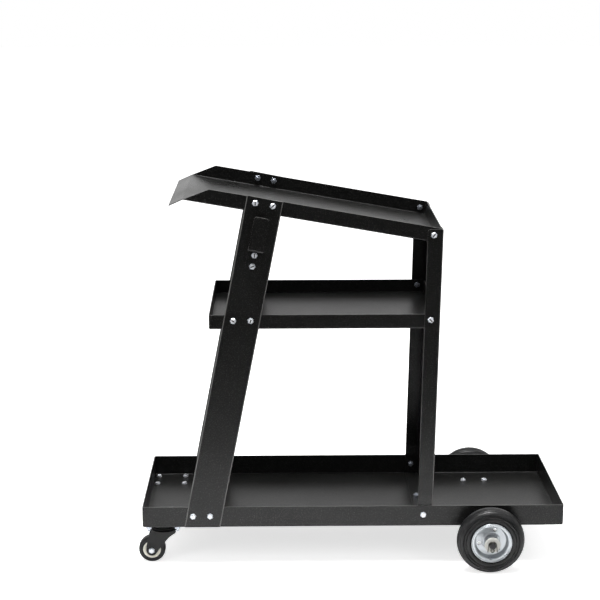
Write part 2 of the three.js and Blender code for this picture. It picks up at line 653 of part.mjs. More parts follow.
// Rear wheel pieces, turned about Y with the outer face toward +Y
function rearRim() {
  const bore = BUSH_RADIUS + SEAT / 2;
  const hub = bore + RIM_HUB_WALL;
  const webOut = RIM_HALF - RIM_DISH;
  const webIn = webOut - RIM_WEB;
  const drumIn = RIM_DRUM - RIM_WALL;
  const edge = RIM_FLANGE_SHEET / 2;
  const lip = RIM_HALF - RIM_FLANGE_SHEET;
  const flange = [
    [RIM_DRUM, lip - RIM_FLANGE_SHEET],
    [RIM_FLANGE - edge, lip],
    [RIM_FLANGE, RIM_HALF - edge],
    [RIM_FLANGE - edge, RIM_HALF],
  ];
  const profile = [
    [bore, -RIM_HALF],
    [hub, -RIM_HALF],
    [hub, webIn],
    [drumIn, webIn],
    [drumIn, -lip],
    ...mirrored(flange),
    ...flange,
    [RIM_DRUM, lip],
    [drumIn - RIM_WALL, webOut],
    [hub + RIM_WEB, webOut],
    [hub, webOut + RIM_WEB],
    [hub, HUB_END],
    [bore, HUB_END],
  ];
  const holes = [];
  for (let i = 0; i < RIM_HOLES; i += 1) {
    const angle = RIM_HOLE_TURN + 2 * Math.PI * i / RIM_HOLES;
    holes.push(rodAlongY(RIM_HOLE_RADIUS, -RIM_HALF, RIM_HALF,
      RIM_HOLE_CIRCLE * Math.cos(angle), RIM_HOLE_CIRCLE * Math.sin(angle)));
  }
  return combine(turned(profile, 28), [], holes);
}

function rearTyre() {
  const bead = RIM_DRUM + SEAT;
  const crown = arc(0, 0, 1, 0, Math.PI / 2, 4).map(([across, up]) => [
    WHEEL_RADIUS - TYRE_CROWN * (1 - up),
    TYRE_HALF * across,
  ]);
  const half = [
    [bead, RIM_HALF - TYRE_BEAD_INSET],
    [RIM_FLANGE + SEAT, RIM_HALF - TYRE_BEAD_INSET + SEAT],
    [RIM_FLANGE + RIM_FLANGE_SHEET, TYRE_HALF],
    ...crown,
  ];
  return turned([...half, ...mirrored(half).slice(1)], 36);
}

function rearBush() {
  const flange = (end) => [
    [BUSH_RADIUS, end + SEAT / 2],
    [BUSH_FLANGE_RADIUS, end + SEAT / 2],
    [BUSH_FLANGE_RADIUS, end + BUSH_FLANGE],
    [BUSH_BORE, end + BUSH_FLANGE],
  ];
  return turned([...flange(HUB_END), ...mirrored(flange(RIM_HALF))], 24);
}

// Caster plate with its bearing cup and riveted kingpin
function casterPlate() {
  const plan = roundedRectangle(-CASTER_PLATE_X / 2, CASTER_PLATE_X / 2,
    -CASTER_PLATE_Y / 2, CASTER_PLATE_Y / 2, CASTER_PLATE_CORNER);
  const middle = (CUP_TOP + PLATE_TOP) / 2;
  const headTop = CROWN_LOW - RUNNING_CLEARANCE;
  const headLow = headTop - KINGPIN_HEAD;
  const plate = extrude(plan, CASTER_PLATE_SHEET).translate(0, 0, CUP_TOP);
  const cup = rodAlongZ(CASTER_CUP_RADIUS, CUP_LOW, middle, 0, 0, 28);
  const kingpin = rodAlongZ(KINGPIN_RADIUS, (headLow + headTop) / 2, middle, 0, 0, 16);
  const head = rodAlongZ(KINGPIN_HEAD_RADIUS, headLow, headTop, 0, 0, 16);
  const holes = [];
  for (const along of [-1, 1]) {
    for (const across of [-1, 1]) {
      holes.push(floorHole(along * CASTER_BOLT_X, across * CASTER_BOLT_Y));
    }
  }
  return combine(plate, [cup, kingpin, head], holes);
}

// Caster fork: round crown, two legs sloping to the trailing wheel
function casterFork() {
  const reach = Math.sqrt(CASTER_CROWN_RADIUS ** 2 - FORK_OUTER ** 2);
  const shoulder = reach + FORK_SHOULDER;
  const bend = CROWN_LOW - FORK_SHEET;
  const leg = outline([
    [reach, CROWN_TOP],
    [-reach, CROWN_TOP],
    [-shoulder, bend],
    [-CASTER_TRAIL - FORK_HEEL, 2 * CASTER_RADIUS],
    ...arc(-CASTER_TRAIL, CASTER_RADIUS, FORK_END_RADIUS, Math.PI, 2 * Math.PI, 2 * FOLD_STEPS),
    [shoulder, bend],
  ]);
  const legs = [
    acrossY(leg, FORK_INNER, FORK_OUTER),
    acrossY(leg, -FORK_OUTER, -FORK_INNER),
  ];
  const crown = rodAlongZ(CASTER_CROWN_RADIUS, CROWN_LOW, CROWN_TOP, 0, 0, 32);
  const bore = rodAlongZ(KINGPIN_RADIUS + RUNNING_CLEARANCE, bend, BOTTOM_Z, 0, 0, 16);
  const axleHole = rodAlongY(HOLE_RADIUS, -2 * FORK_OUTER, 2 * FORK_OUTER, -CASTER_TRAIL, CASTER_RADIUS);
  return combine(crown, legs, [bore, axleHole]);
}

function casterTyre() {
  const inner = CASTER_CORE_RADIUS + SEAT;
  const crown = arc(CASTER_RADIUS - CASTER_TYRE_CROWN, CASTER_TYRE_HALF - CASTER_TYRE_CROWN,
    CASTER_TYRE_CROWN, Math.PI / 2, 0, 2);
  const half = [[inner, CASTER_TYRE_HALF], ...crown];
  return turned([...half, ...mirrored(half)], 32);
}

function casterCore() {
  const bore = BOLT_DIAMETER / 2 + RUNNING_CLEARANCE;
  const hub = bore + CASTER_HUB_WALL;
  const web = CASTER_TYRE_HALF - CASTER_CORE_DISH;
  const ring = CASTER_CORE_RADIUS - CASTER_CORE_RIM;
  const half = [
    [bore, CASTER_CORE_HALF],
    [hub, CASTER_CORE_HALF],
    [hub, web],
    [ring, web],
    [ring, CASTER_TYRE_HALF],
    [CASTER_CORE_RADIUS, CASTER_TYRE_HALF],
  ];
  return turned([...half, ...mirrored(half)], 24);
}

// Assembly
const cart = new THREE.Group();
cart.name = 'welding_cart';

function place(parent, name, geometry, look) {
  const mesh = new THREE.Mesh(geometry, new THREE.MeshStandardMaterial(look));
  mesh.name = name;
  parent.add(mesh);
  return mesh;
}

// Trays and what stands on them
place(cart, 'bottom_tray', bottomTray(), PAINT);
place(cart, 'middle_tray', middleTray(), PAINT);
place(cart, 'top_tray', topTray(), PAINT);
place(cart, 'rear_foot_plate', footPlate(), PAINT);
for (const [name, side] of SIDES) {
  place(cart, `front_upright_${name}`, frontUpright(side), PAINT);
  place(cart, `rear_upright_${name}`, rearUpright(side), PAINT);
  place(cart, `cable_hook_${name}`, cableHook(side), PAINT);
  place(cart, `axle_bracket_${name}`, axleBracket(side), PAINT);
}

// Side bolts: where they are, the face under the head and the face under the nut
const stacks = [
  [[...bottomFrontBolts, ...middleFrontBolts, ...topFrontBolts], UPRIGHT_OUTER, TRAY_INNER],
  [[...middleRearBolts, ...topRearBolts], UPRIGHT_OUTER, TRAY_INNER],
  [bottomRearBolts, HALF_WIDTH, REAR_FOOT_OUTER - UPRIGHT_SHEET],
  [hookBolts, HOOK_OUTER, UPRIGHT_INNER],
];
for (const [name, side] of SIDES) {
  let count = 0;
  for (const [bolts, outer, inner] of stacks) {
    for (const [spot, x, z] of bolts) {
      const seat = new THREE.Group();
      seat.position.set(x, side * outer, z);
      seat.rotation.z = side > 0 ? Math.PI : 0;
      place(seat, `bolt_${spot}_${name}`, bolt(outer - inner), ZINC).rotation.y = BOLT_TURN * count;
      cart.add(seat);
      count += 1;
    }
  }
}

// Floor bolts
for (const [spot, x, y] of bracketBolts) {
  const mesh = place(cart, `bolt_${spot}`, bolt(TRAY_SHEET + SEAT + BRACKET_SHEET), ZINC);
  mesh.position.set(x, y, FLOOR_TOP);
  mesh.rotation.x = -Math.PI / 2;
}
const footBolt = place(cart, 'bolt_foot_plate', bolt(TRAY_SHEET + SEAT + FOOT_PLATE_SHEET), ZINC);
footBolt.position.set(FOOT_BOLT_X, 0, BOTTOM_Z);
footBolt.rotation.x = Math.PI / 2;

// Rear wheels on their axle
const axle = place(cart, 'rear_axle', rearAxle(), AXLE_STEEL);
axle.position.set(AXLE_X, 0, WHEEL_RADIUS);
for (const [name, side] of SIDES) {
  const hub = new THREE.Group();
  hub.position.set(AXLE_X, side * WHEEL_Y, WHEEL_RADIUS);
  hub.rotation.z = side > 0 ? 0 : Math.PI;
  place(hub, `rear_tyre_${name}`, rearTyre(), RUBBER);
  place(hub, `rear_rim_${name}`, rearRim(), RIM_ZINC);
  place(hub, `rear_bush_${name}`, rearBush(), CREAM);
  cart.add(hub);
  const spacer = place(cart, `axle_spacer_${name}`, axleSpacer(), AXLE_STEEL);
  spacer.position.set(AXLE_X, 0, WHEEL_RADIUS);
  spacer.rotation.z = side > 0 ? 0 : Math.PI;
  const pin = place(cart, `split_pin_${name}`, splitPin(), ZINC);
  pin.position.set(AXLE_X, side * PIN_Y, WHEEL_RADIUS);
}

// Swivel casters
for (const [name, side] of SIDES) {
  const caster = new THREE.Group();
  caster.position.set(CASTER_X, side * CASTER_Y, 0);
  place(caster, `caster_plate_${name}`, casterPlate(), CASTER_PAINT);
  place(caster, `caster_fork_${name}`, casterFork(), CASTER_PAINT);
  const wheel = new THREE.Group();
  wheel.position.set(-CASTER_TRAIL, 0, CASTER_RADIUS);
  place(wheel, `caster_tyre_${name}`, casterTyre(), RUBBER);
  place(wheel, `caster_core_${name}`, casterCore(), CREAM);
  const bar = place(wheel, `caster_axle_bolt_${name}`, bolt(2 * FORK_OUTER), ZINC);
  bar.position.y = side * FORK_OUTER;
  bar.rotation.z = side > 0 ? Math.PI : 0;
  caster.add(wheel);
  cart.add(caster);
}

export default cart;
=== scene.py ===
# %% [markdown]
# # A welding cart
# Three sheet-steel trays hang between four leaning uprights, with casters in front and wheels behind.
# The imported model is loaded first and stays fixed. It says where every piece is, so each new piece is
# made at its place and then stands for the plain solid there.

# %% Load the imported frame
import json
import math
import bmesh
import bpy
from mathutils import Matrix, Vector


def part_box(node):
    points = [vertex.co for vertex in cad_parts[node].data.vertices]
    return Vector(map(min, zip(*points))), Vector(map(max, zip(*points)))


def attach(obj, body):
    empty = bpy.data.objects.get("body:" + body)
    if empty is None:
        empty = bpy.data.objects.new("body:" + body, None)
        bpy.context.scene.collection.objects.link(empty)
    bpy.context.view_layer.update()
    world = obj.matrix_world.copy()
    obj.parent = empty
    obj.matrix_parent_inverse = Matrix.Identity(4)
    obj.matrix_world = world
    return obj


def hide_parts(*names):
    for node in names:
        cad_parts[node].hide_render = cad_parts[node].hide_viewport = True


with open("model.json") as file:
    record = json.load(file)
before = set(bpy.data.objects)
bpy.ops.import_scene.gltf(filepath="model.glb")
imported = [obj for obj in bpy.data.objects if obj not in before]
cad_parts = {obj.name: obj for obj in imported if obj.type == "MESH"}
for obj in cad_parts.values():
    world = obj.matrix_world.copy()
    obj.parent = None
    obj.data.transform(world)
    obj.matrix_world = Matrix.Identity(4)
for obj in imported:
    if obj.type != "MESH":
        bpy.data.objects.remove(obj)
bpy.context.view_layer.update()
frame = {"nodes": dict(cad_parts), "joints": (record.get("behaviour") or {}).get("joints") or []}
MM = 0.001
SIDES = (("left", -1), ("right", 1))

# %% [markdown]
# ## Camera
# The cart was photographed nearly side-on with a long lens, from a little above the top tray.
# Long lenses keep the verticals straight, so the camera stands far back with a 90 mm lens.
# The view direction is written as a pitch down, a small turn and a hint of roll.

# %% Camera
CAMERA_PLACE = (-0.1227, -2.7424, 1.1436)
LENS_MM = 90.0
SENSOR_MM = 36.0
pitch, turn, roll = math.radians(-13.64), math.radians(0.67), math.radians(-0.1)
bpy.ops.object.camera_add(location=CAMERA_PLACE)
camera = bpy.context.object
camera.name = "photo_camera"
camera.data.sensor_width = SENSOR_MM
camera.data.lens = LENS_MM
ahead = Vector((math.sin(turn) * math.cos(pitch), math.cos(turn) * math.cos(pitch), math.sin(pitch)))
level = Vector((math.cos(turn), -math.sin(turn), 0))
above = level.cross(ahead)
right = level * math.cos(roll) + above * math.sin(roll)
up = above * math.cos(roll) - level * math.sin(roll)
camera.rotation_euler = Matrix((right, up, -ahead)).transposed().to_euler()
bpy.context.scene.camera = camera
print("camera", tuple(camera.location), "lens", camera.data.lens)

# %% [markdown]
# ## Floor and light
# The studio is white: a wide pale floor, a white surround and soft lamps overhead.
# Most of the light falls from above, so tray floors are bright and the sides of the sheets stay dark.
# The surround is white to the camera. In reflections it is white behind and above the cart and dim on the
# side where the camera stands, as in a real studio, so bright metal shows light and dark bands.

# %% Surround
DIM_SIDE = 0.12
FILL_LIGHT = 0.5
world = bpy.data.worlds.new("white_studio")
bpy.context.scene.world = world
world.use_nodes = True
links = world.node_tree.links
nodes = world.node_tree.nodes
nodes.clear()


def band(source, low, high, least):
    ramp = nodes.new("ShaderNodeMapRange")
    ramp.inputs["From Min"].default_value = low
    ramp.inputs["From Max"].default_value = high
    ramp.inputs["To Min"].default_value = least
    links.new(source, ramp.inputs["Value"])
    return ramp.outputs["Result"]


direction = nodes.new("ShaderNodeTexCoord")
parts = nodes.new("ShaderNodeSeparateXYZ")
links.new(direction.outputs["Generated"], parts.inputs[0])
brighter = nodes.new("ShaderNodeMath")
brighter.operation = "MAXIMUM"
links.new(band(parts.outputs["Y"], -0.6, 0.4, DIM_SIDE), brighter.inputs[0])
links.new(band(parts.outputs["Z"], 0.3, 0.8, 0.0), brighter.inputs[1])
room = nodes.new("ShaderNodeBackground")
links.new(brighter.outputs[0], room.inputs["Strength"])
white = nodes.new("ShaderNodeBackground")
white.inputs["Strength"].default_value = 1.0
fill = nodes.new("ShaderNodeBackground")
fill.inputs["Strength"].default_value = FILL_LIGHT
for light in (room, white, fill):
    light.inputs["Color"].default_value = (1, 1, 1, 1)
ray = nodes.new("ShaderNodeLightPath")
seen = nodes.new("ShaderNodeMath")
seen.operation = "MAXIMUM"
links.new(ray.outputs["Is Camera Ray"], seen.inputs[0])
links.new(ray.outputs["Is Transmission Ray"], seen.inputs[1])
mirror = nodes.new("ShaderNodeMixShader")
links.new(ray.outputs["Is Glossy Ray"], mirror.inputs["Fac"])
links.new(fill.outputs[0], mirror.inputs[1])
links.new(room.outputs[0], mirror.inputs[2])
choose = nodes.new("ShaderNodeMixShader")
links.new(seen.outputs[0], choose.inputs["Fac"])
links.new(mirror.outputs[0], choose.inputs[1])
links.new(white.outputs[0], choose.inputs[2])
sky = nodes.new("ShaderNodeOutputWorld")
links.new(choose.outputs[0], sky.inputs["Surface"])
bpy.context.scene.view_settings.view_transform = "Standard"
print("surround ready")


# %% Floor
FLOOR_SIZE = 14
FLOOR_FRONT = -0.75
SHADOW_REACH = 0.6
WHITE_FROM = 1.6
LIFT_NEAR = 0.66
bpy.ops.mesh.primitive_plane_add(size=FLOOR_SIZE, location=(0, FLOOR_FRONT + FLOOR_SIZE / 2, 0))
bpy.ops.object.transform_apply(location=True)
floor = bpy.context.object
floor.name = "studio_floor"
floor_paint = bpy.data.materials.new("floor_paint")
floor_paint.use_nodes = True
links = floor_paint.node_tree.links
nodes = floor_paint.node_tree.nodes
nodes.clear()
matt = nodes.new("ShaderNodeBsdfDiffuse")
matt.inputs["Color"].default_value = (0.86, 0.86, 0.86, 1)
lift = nodes.new("ShaderNodeEmission")
place = nodes.new("ShaderNodeTexCoord")
away = nodes.new("ShaderNodeVectorMath")
away.operation = "LENGTH"
farther = nodes.new("ShaderNodeMapRange")
farther.inputs["From Min"].default_value = SHADOW_REACH
farther.inputs["From Max"].default_value = WHITE_FROM
farther.inputs["To Min"].default_value = LIFT_NEAR
links.new(place.outputs["Object"], away.inputs[0])
links.new(away.outputs["Value"], farther.inputs["Value"])
links.new(farther.outputs["Result"], lift.inputs["Strength"])
ray = nodes.new("ShaderNodeLightPath")
dark = nodes.new("ShaderNodeEmission")
dark.inputs["Strength"].default_value = 0.0
lifted = nodes.new("ShaderNodeMixShader")
both = nodes.new("ShaderNodeAddShader")
out = nodes.new("ShaderNodeOutputMaterial")
links.new(ray.outputs["Is Camera Ray"], lifted.inputs["Fac"])
links.new(dark.outputs[0], lifted.inputs[1])
links.new(lift.outputs[0], lifted.inputs[2])
links.new(matt.outputs[0], both.inputs[0])
links.new(lifted.outputs[0], both.inputs[1])
links.new(both.outputs[0], out.inputs["Surface"])
floor.data.materials.append(floor_paint)
print("floor", floor.dimensions[:])


# %% Lamps
def soft_lamp(name, place, target, size, power, spread=180):
    bpy.ops.object.light_add(type="AREA", location=place)
    lamp = bpy.context.object
    lamp.name = name
    lamp.data.shape = "DISK"
    lamp.data.size = size
    lamp.data.energy = power
    lamp.data.spread = math.radians(spread)
    lamp.rotation_euler = (Vector(target) - Vector(place)).to_track_quat("-Z", "Y").to_euler()
    return lamp


soft_lamp("overhead", (-0.2, 0.1, 3.0), (0, 0, 0.3), size=2.2, power=34, spread=110)
soft_lamp("front_left", (-2.2, -2.0, 1.9), (0, 0, 0.35), size=1.4, power=15)
soft_lamp("front_right", (2.0, -2.2, 2.1), (0, 0, 0.35), size=1.4, power=10)
soft_lamp("behind_right", (1.9, 1.6, 2.3), (0, 0, 0.4), size=1.4, power=14)
soft_lamp("floor_pool", (-0.1, -0.7, 2.4), (-0.1, -0.5, 0), size=1.0, power=6, spread=40)

# %% [markdown]
# ## Finishes
# Each finish is a small tree of nodes on one Principled shader.
# Object coordinates are in metres, so a noise of scale 900 has grains about a millimetre across.
# The same helper builds the usual chain: a slow noise mixes two close colours and moves the roughness
# with them, and a fine noise becomes bump.


# %% Helper for finishes
def finish(name, light, dark, rough, spread=9.0, grain=900.0, grit=0.5, bump=0.2, depth=0.0003,
           **shader_values):
    material = bpy.data.materials.new(name)
    material.use_nodes = True
    tree = material.node_tree
    shader = tree.nodes["Principled BSDF"]
    for socket, value in shader_values.items():
        shader.inputs[socket.replace("_", " ")].default_value = value
    place = tree.nodes.new("ShaderNodeTexCoord")
    slow = tree.nodes.new("ShaderNodeTexNoise")
    slow.name = "slow"
    slow.inputs["Scale"].default_value = spread
    slow.inputs["Detail"].default_value = 5
    fine = tree.nodes.new("ShaderNodeTexNoise")
    fine.name = "fine"
    fine.inputs["Scale"].default_value = grain
    fine.inputs["Detail"].default_value = 5
    fine.inputs["Roughness"].default_value = grit
    colour = tree.nodes.new("ShaderNodeMix")
    colour.name = "colour"
    colour.data_type = "RGBA"
    colour.inputs[6].default_value = (*dark, 1)
    colour.inputs[7].default_value = (*light, 1)
    shine = tree.nodes.new("ShaderNodeMapRange")
    shine.name = "shine"
    shine.inputs["From Min"].default_value = 0.3
    shine.inputs["From Max"].default_value = 0.7
    shine.inputs["To Min"].default_value = rough[0]
    shine.inputs["To Max"].default_value = rough[1]
    relief = tree.nodes.new("ShaderNodeBump")
    relief.name = "relief"
    relief.inputs["Strength"].default_value = bump
    relief.inputs["Distance"].default_value = depth
    for noise in (slow, fine):
        tree.links.new(place.outputs["Object"], noise.inputs["Vector"])
    tree.links.new(slow.outputs["Fac"], colour.inputs["Factor"])
    tree.links.new(slow.outputs["Fac"], shine.inputs["Value"])
    tree.links.new(fine.outputs["Fac"], relief.inputs["Height"])
    tree.links.new(colour.outputs[2], shader.inputs["Base Color"])
    tree.links.new(shine.outputs["Result"], shader.inputs["Roughness"])
    tree.links.new(relief.outputs["Normal"], shader.inputs["Normal"])
    return material


# %% [markdown]
# ### Black powder coat
# Powder coat is baked plastic dust: matt, with a fine sandy texture whose peaks show as pale flecks.
# Dust settles on faces that look up, so those are a little paler, in soft patches.
# The cut edges carry a thinner coat that shines a little more, and their much paler colour is a painted
# highlight; the folds of the uprights take the same twin finish.


# %% Powder coat
def settle_dust(material, dust, amount):
    tree = material.node_tree
    surface = tree.nodes.new("ShaderNodeNewGeometry")
    parts = tree.nodes.new("ShaderNodeSeparateXYZ")
    facing = tree.nodes.new("ShaderNodeMapRange")
    facing.inputs["From Min"].default_value = 0.55
    facing.inputs["From Max"].default_value = 1.0
    facing.inputs["To Max"].default_value = amount
    patch = tree.nodes.new("ShaderNodeMath")
    patch.operation = "MULTIPLY"
    mix = tree.nodes.new("ShaderNodeMix")
    mix.data_type = "RGBA"
    mix.inputs[7].default_value = (*dust, 1)
    colour = tree.nodes["colour"]
    shader = tree.nodes["Principled BSDF"]
    tree.links.new(surface.outputs["Normal"], parts.inputs[0])
    tree.links.new(parts.outputs["Z"], facing.inputs["Value"])
    tree.links.new(facing.outputs["Result"], patch.inputs[0])
    tree.links.new(tree.nodes["slow"].outputs["Fac"], patch.inputs[1])
    tree.links.new(patch.outputs[0], mix.inputs["Factor"])
    tree.links.new(colour.outputs[2], mix.inputs[6])
    tree.links.new(mix.outputs[2], shader.inputs["Base Color"])


def add_flecks(material, fleck, amount):
    tree = material.node_tree
    shader = tree.nodes["Principled BSDF"]
    before = shader.inputs["Base Color"].links[0].from_socket
    peaks = tree.nodes.new("ShaderNodeMapRange")
    peaks.inputs["From Min"].default_value = 0.52
    peaks.inputs["From Max"].default_value = 0.66
    peaks.inputs["To Max"].default_value = amount
    mix = tree.nodes.new("ShaderNodeMix")
    mix.data_type = "RGBA"
    mix.inputs[7].default_value = (*fleck, 1)
    tree.links.new(tree.nodes["fine"].outputs["Fac"], peaks.inputs["Value"])
    tree.links.new(peaks.outputs["Result"], mix.inputs["Factor"])
    tree.links.new(before, mix.inputs[6])
    tree.links.new(mix.outputs[2], shader.inputs["Base Color"])


powder_coat = finish("powder_coat", (0.002, 0.002, 0.0019), (0.0013, 0.0013, 0.0012), (0.27, 0.36),
                     spread=7, grain=460, grit=0.62, bump=0.4, depth=0.0006, Specular_IOR_Level=0.31)
settle_dust(powder_coat, (0.04, 0.04, 0.0385), 0.2)
add_flecks(powder_coat, (0.08, 0.08, 0.077), 0.3)
# Twin finish for cut edges and folds: glossier than the coat, and its pale colour is a painted highlight.
edge_painted_highlight = finish("edge_painted_highlight", (0.1, 0.1, 0.096), (0.05, 0.05, 0.048), (0.32, 0.44),
                     spread=60, grain=1100, bump=0.2, Specular_IOR_Level=0.6)
caster_black = finish("caster_black", (0.011, 0.011, 0.011), (0.007, 0.007, 0.007), (0.36, 0.46),
                      spread=40, grain=700, bump=0.12, Specular_IOR_Level=0.26)
# Near-black, dull finish for the caster plate, cup and kingpin: painted shade for the dark gap under the
# tray.
cup_painted_shade = finish("cup_painted_shade", (0.005, 0.005, 0.005), (0.003, 0.003, 0.003), (0.5, 0.6),
                   spread=40, grain=700, bump=0.12, Specular_IOR_Level=0.12)
axle_black = finish("axle_black", (0.012, 0.012, 0.013), (0.007, 0.007, 0.0075), (0.38, 0.52),
                    spread=120, grain=1500, bump=0.15, Metallic=0.2)
print("coats:", powder_coat.name, edge_painted_highlight.name, caster_black.name, axle_black.name)

# %% [markdown]
# ### Zinc, rubber and plastic
# Zinc plate is bright and faintly blue, with cloudy patches; on the pressed rims it is duller.
# Rubber is dark grey with a soft sheen, and the off-white plastic of hubs and bushes is smooth.

# %% Zinc, rubber and plastic
bright_zinc = finish("bright_zinc", (0.84, 0.85, 0.88), (0.74, 0.76, 0.8), (0.24, 0.36),
                     spread=160, grain=2200, bump=0.08, Metallic=0.35)
# More mirror-like zinc for bevels and nuts; its darker tone than the bright zinc is painted shade on the
# flanks.
bolt_flank = finish("bolt_flank", (0.52, 0.55, 0.61), (0.41, 0.44, 0.5), (0.22, 0.32),
                    spread=160, grain=2200, bump=0.06, Metallic=0.9)
# Dark, dull finish for the inside of the slot: painted shade in the recess.
bolt_slot = finish("bolt_slot", (0.05, 0.052, 0.056), (0.03, 0.031, 0.034), (0.5, 0.6),
                   spread=160, grain=2200, bump=0.1, Metallic=0.3)
# Steel for the split pin, made much darker than the bare wire: painted shade on the pin's legs.
pin_steel_and_shade = finish("pin_steel_and_shade", (0.11, 0.105, 0.09), (0.07, 0.066, 0.056), (0.3, 0.42),
                   spread=160, grain=2200, bump=0.08, Metallic=0.9)
dull_zinc = finish("dull_zinc", (0.47, 0.49, 0.505), (0.36, 0.385, 0.41), (0.26, 0.36),
                   spread=70, grain=420, grit=0.4, bump=0.02, Metallic=0.85)
tyre_rubber = finish("tyre_rubber", (0.010, 0.010, 0.0105), (0.006, 0.006, 0.0063), (0.28, 0.4),
                     spread=45, grain=1300, bump=0.15, Specular_IOR_Level=0.29)
settle_dust(tyre_rubber, (0.07, 0.07, 0.068), 0.25)
caster_rubber = finish("caster_rubber", (0.009, 0.009, 0.0095), (0.006, 0.006, 0.0063), (0.4, 0.55),
                       spread=90, grain=1600, bump=0.2, Specular_IOR_Level=0.3)
bush_plastic = finish("bush_plastic", (0.46, 0.46, 0.43), (0.38, 0.38, 0.355), (0.36, 0.48),
                      spread=120, grain=1500, bump=0.1)
cream_plastic = finish("cream_plastic", (0.9, 0.88, 0.79), (0.82, 0.79, 0.69), (0.34, 0.46),
                       spread=80, grain=1500, bump=0.1)
print("finishes:", len(bpy.data.materials))

# %% [markdown]
# ## Tools for modelling
# Operators act on what is selected, so each helper first clears the selection.
# Faces, edges and points are picked in code by where they are, as a hand would click them.


# %% Selection helpers
def clear_selection():
    if bpy.context.mode != "OBJECT":
        bpy.ops.object.mode_set(mode="OBJECT")
    bpy.ops.object.select_all(action="DESELECT")


def activate(piece):
    clear_selection()
    piece.select_set(True)
    bpy.context.view_layer.objects.active = piece


def pick_faces(piece, wanted):
    mesh = edit_with_nothing_selected(piece, "FACE")
    for face in mesh.faces:
        face.select_set(bool(wanted(face.calc_center_median(), face.normal)))
    bmesh.update_edit_mesh(piece.data)


def pick_edges(piece, wanted):
    mesh = edit_with_nothing_selected(piece, "EDGE")
    for edge in mesh.edges:
        edge.select_set(bool(wanted(*(v.co for v in edge.verts))))
    bmesh.update_edit_mesh(piece.data)


def pick_points(piece, wanted):
    mesh = edit_with_nothing_selected(piece, "VERT")
    for point in mesh.verts:
        point.select_set(bool(wanted(point.co)))
    mesh.select_flush_mode()
    bmesh.update_edit_mesh(piece.data)


def edit_with_nothing_selected(piece, kind):
    if bpy.context.mode == "OBJECT":
        activate(piece)
        bpy.ops.object.mode_set(mode="EDIT")
    bpy.ops.mesh.select_mode(type=kind)
    bpy.ops.mesh.select_all(action="DESELECT")
    return bmesh.from_edit_mesh(piece.data)


def cut_all(piece, point, normal, remove=False):
    edit_with_nothing_selected(piece, "VERT")
    bpy.ops.mesh.select_all(action="SELECT")
    bpy.ops.mesh.bisect(plane_co=point, plane_no=normal, clear_outer=remove)


# %% Placing and finishing helpers
SMOOTH_SHEET = math.radians(50)
SMOOTH_TURNED = math.radians(32)
NEAR = 0.01 * MM


def block(name, low, high):
    clear_selection()
    low, high = Vector(low), Vector(high)
    bpy.ops.mesh.primitive_cube_add(size=1, location=(low + high) / 2)
    piece = bpy.context.object
    piece.name = name
    piece.scale = high - low
    bpy.ops.object.transform_apply(location=True, rotation=True, scale=True)
    return piece


def put(piece, matrix):
    activate(piece)
    piece.matrix_world = matrix
    bpy.ops.object.transform_apply(location=True, rotation=True, scale=True)
    return piece


def modify(piece, kind, **settings):
    activate(piece)
    bpy.ops.object.modifier_add(type=kind)
    change = piece.modifiers[-1]
    for setting, value in settings.items():
        setattr(change, setting, value)
    bpy.ops.object.modifier_apply(modifier=change.name)


def round_edges(piece, width, segments=2, angle=40):
    modify(piece, "BEVEL", width=width, segments=segments, limit_method="ANGLE",
           angle_limit=math.radians(angle), use_clamp_overlap=True)
    bpy.ops.object.shade_smooth_by_angle(angle=SMOOTH_SHEET)
    modify(piece, "WEIGHTED_NORMAL", keep_sharp=True, weight=80)


def dress(piece, body, slot, stands_for, *materials):
    for material in materials:
        piece.data.materials.append(material)
    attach(piece, body)
    if stands_for:
        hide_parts(stands_for)
    return piece


# %% [markdown]
# ## Trays
# Each tray is one sheet, cut at its corners and folded up.
# A block without its lid is the outside of such a tray. Bevelling the bottom and corner edges gives the
# fold, Solidify gives the sheet its thickness, and its rim takes the second material, the edge finish whose
# pale colour is a painted highlight.


# %% Folded sheet
TRAY_SHEET = 1.5 * MM
FOLD_RADIUS = 3 * MM
EDGE_ROUND = 0.35 * MM


# The second material is the edge finish, a painted highlight along edges and folds.
def coat(piece):
    piece.data.materials.append(powder_coat)
    piece.data.materials.append(edge_painted_highlight)


def make_sheet(piece, thickness, offset=-1.0):
    # The rim faces take material 1, the painted edge highlight.
    modify(piece, "SOLIDIFY", thickness=thickness, offset=offset, use_even_offset=True,
           material_offset_rim=1)
    round_edges(piece, EDGE_ROUND)


def folded_tray(name, node):
    low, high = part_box(node)
    tray = block(name, low, high)
    coat(tray)
    pick_faces(tray, lambda mid, normal: normal.z > 0.9)
    bpy.ops.mesh.delete(type="FACE")
    pick_edges(tray, lambda a, b: min(a.z, b.z) < low.z + MM)
    bpy.ops.mesh.bevel(offset=FOLD_RADIUS, segments=5, affect="EDGES")
    make_sheet(tray, TRAY_SHEET)
    return dress(tray, "frame", "black_powder_coat", node)


bottom_sheet = folded_tray("bottom_tray_sheet", "bottom_tray")
middle_sheet = folded_tray("middle_tray_sheet", "middle_tray")
print("trays:", bottom_sheet.dimensions[:], middle_sheet.dimensions[:])

# %% [markdown]
# ### The sloping top tray
# The top tray has no front wall: its side walls run down in a ramp, and the floor ends in a lip folded
# down toward the front, so that a load can be slid on.
# It is modelled level, then tilted. One slanted cut makes both ramps, and the lip is the front edge
# extruded round the fold and on for its straight length.

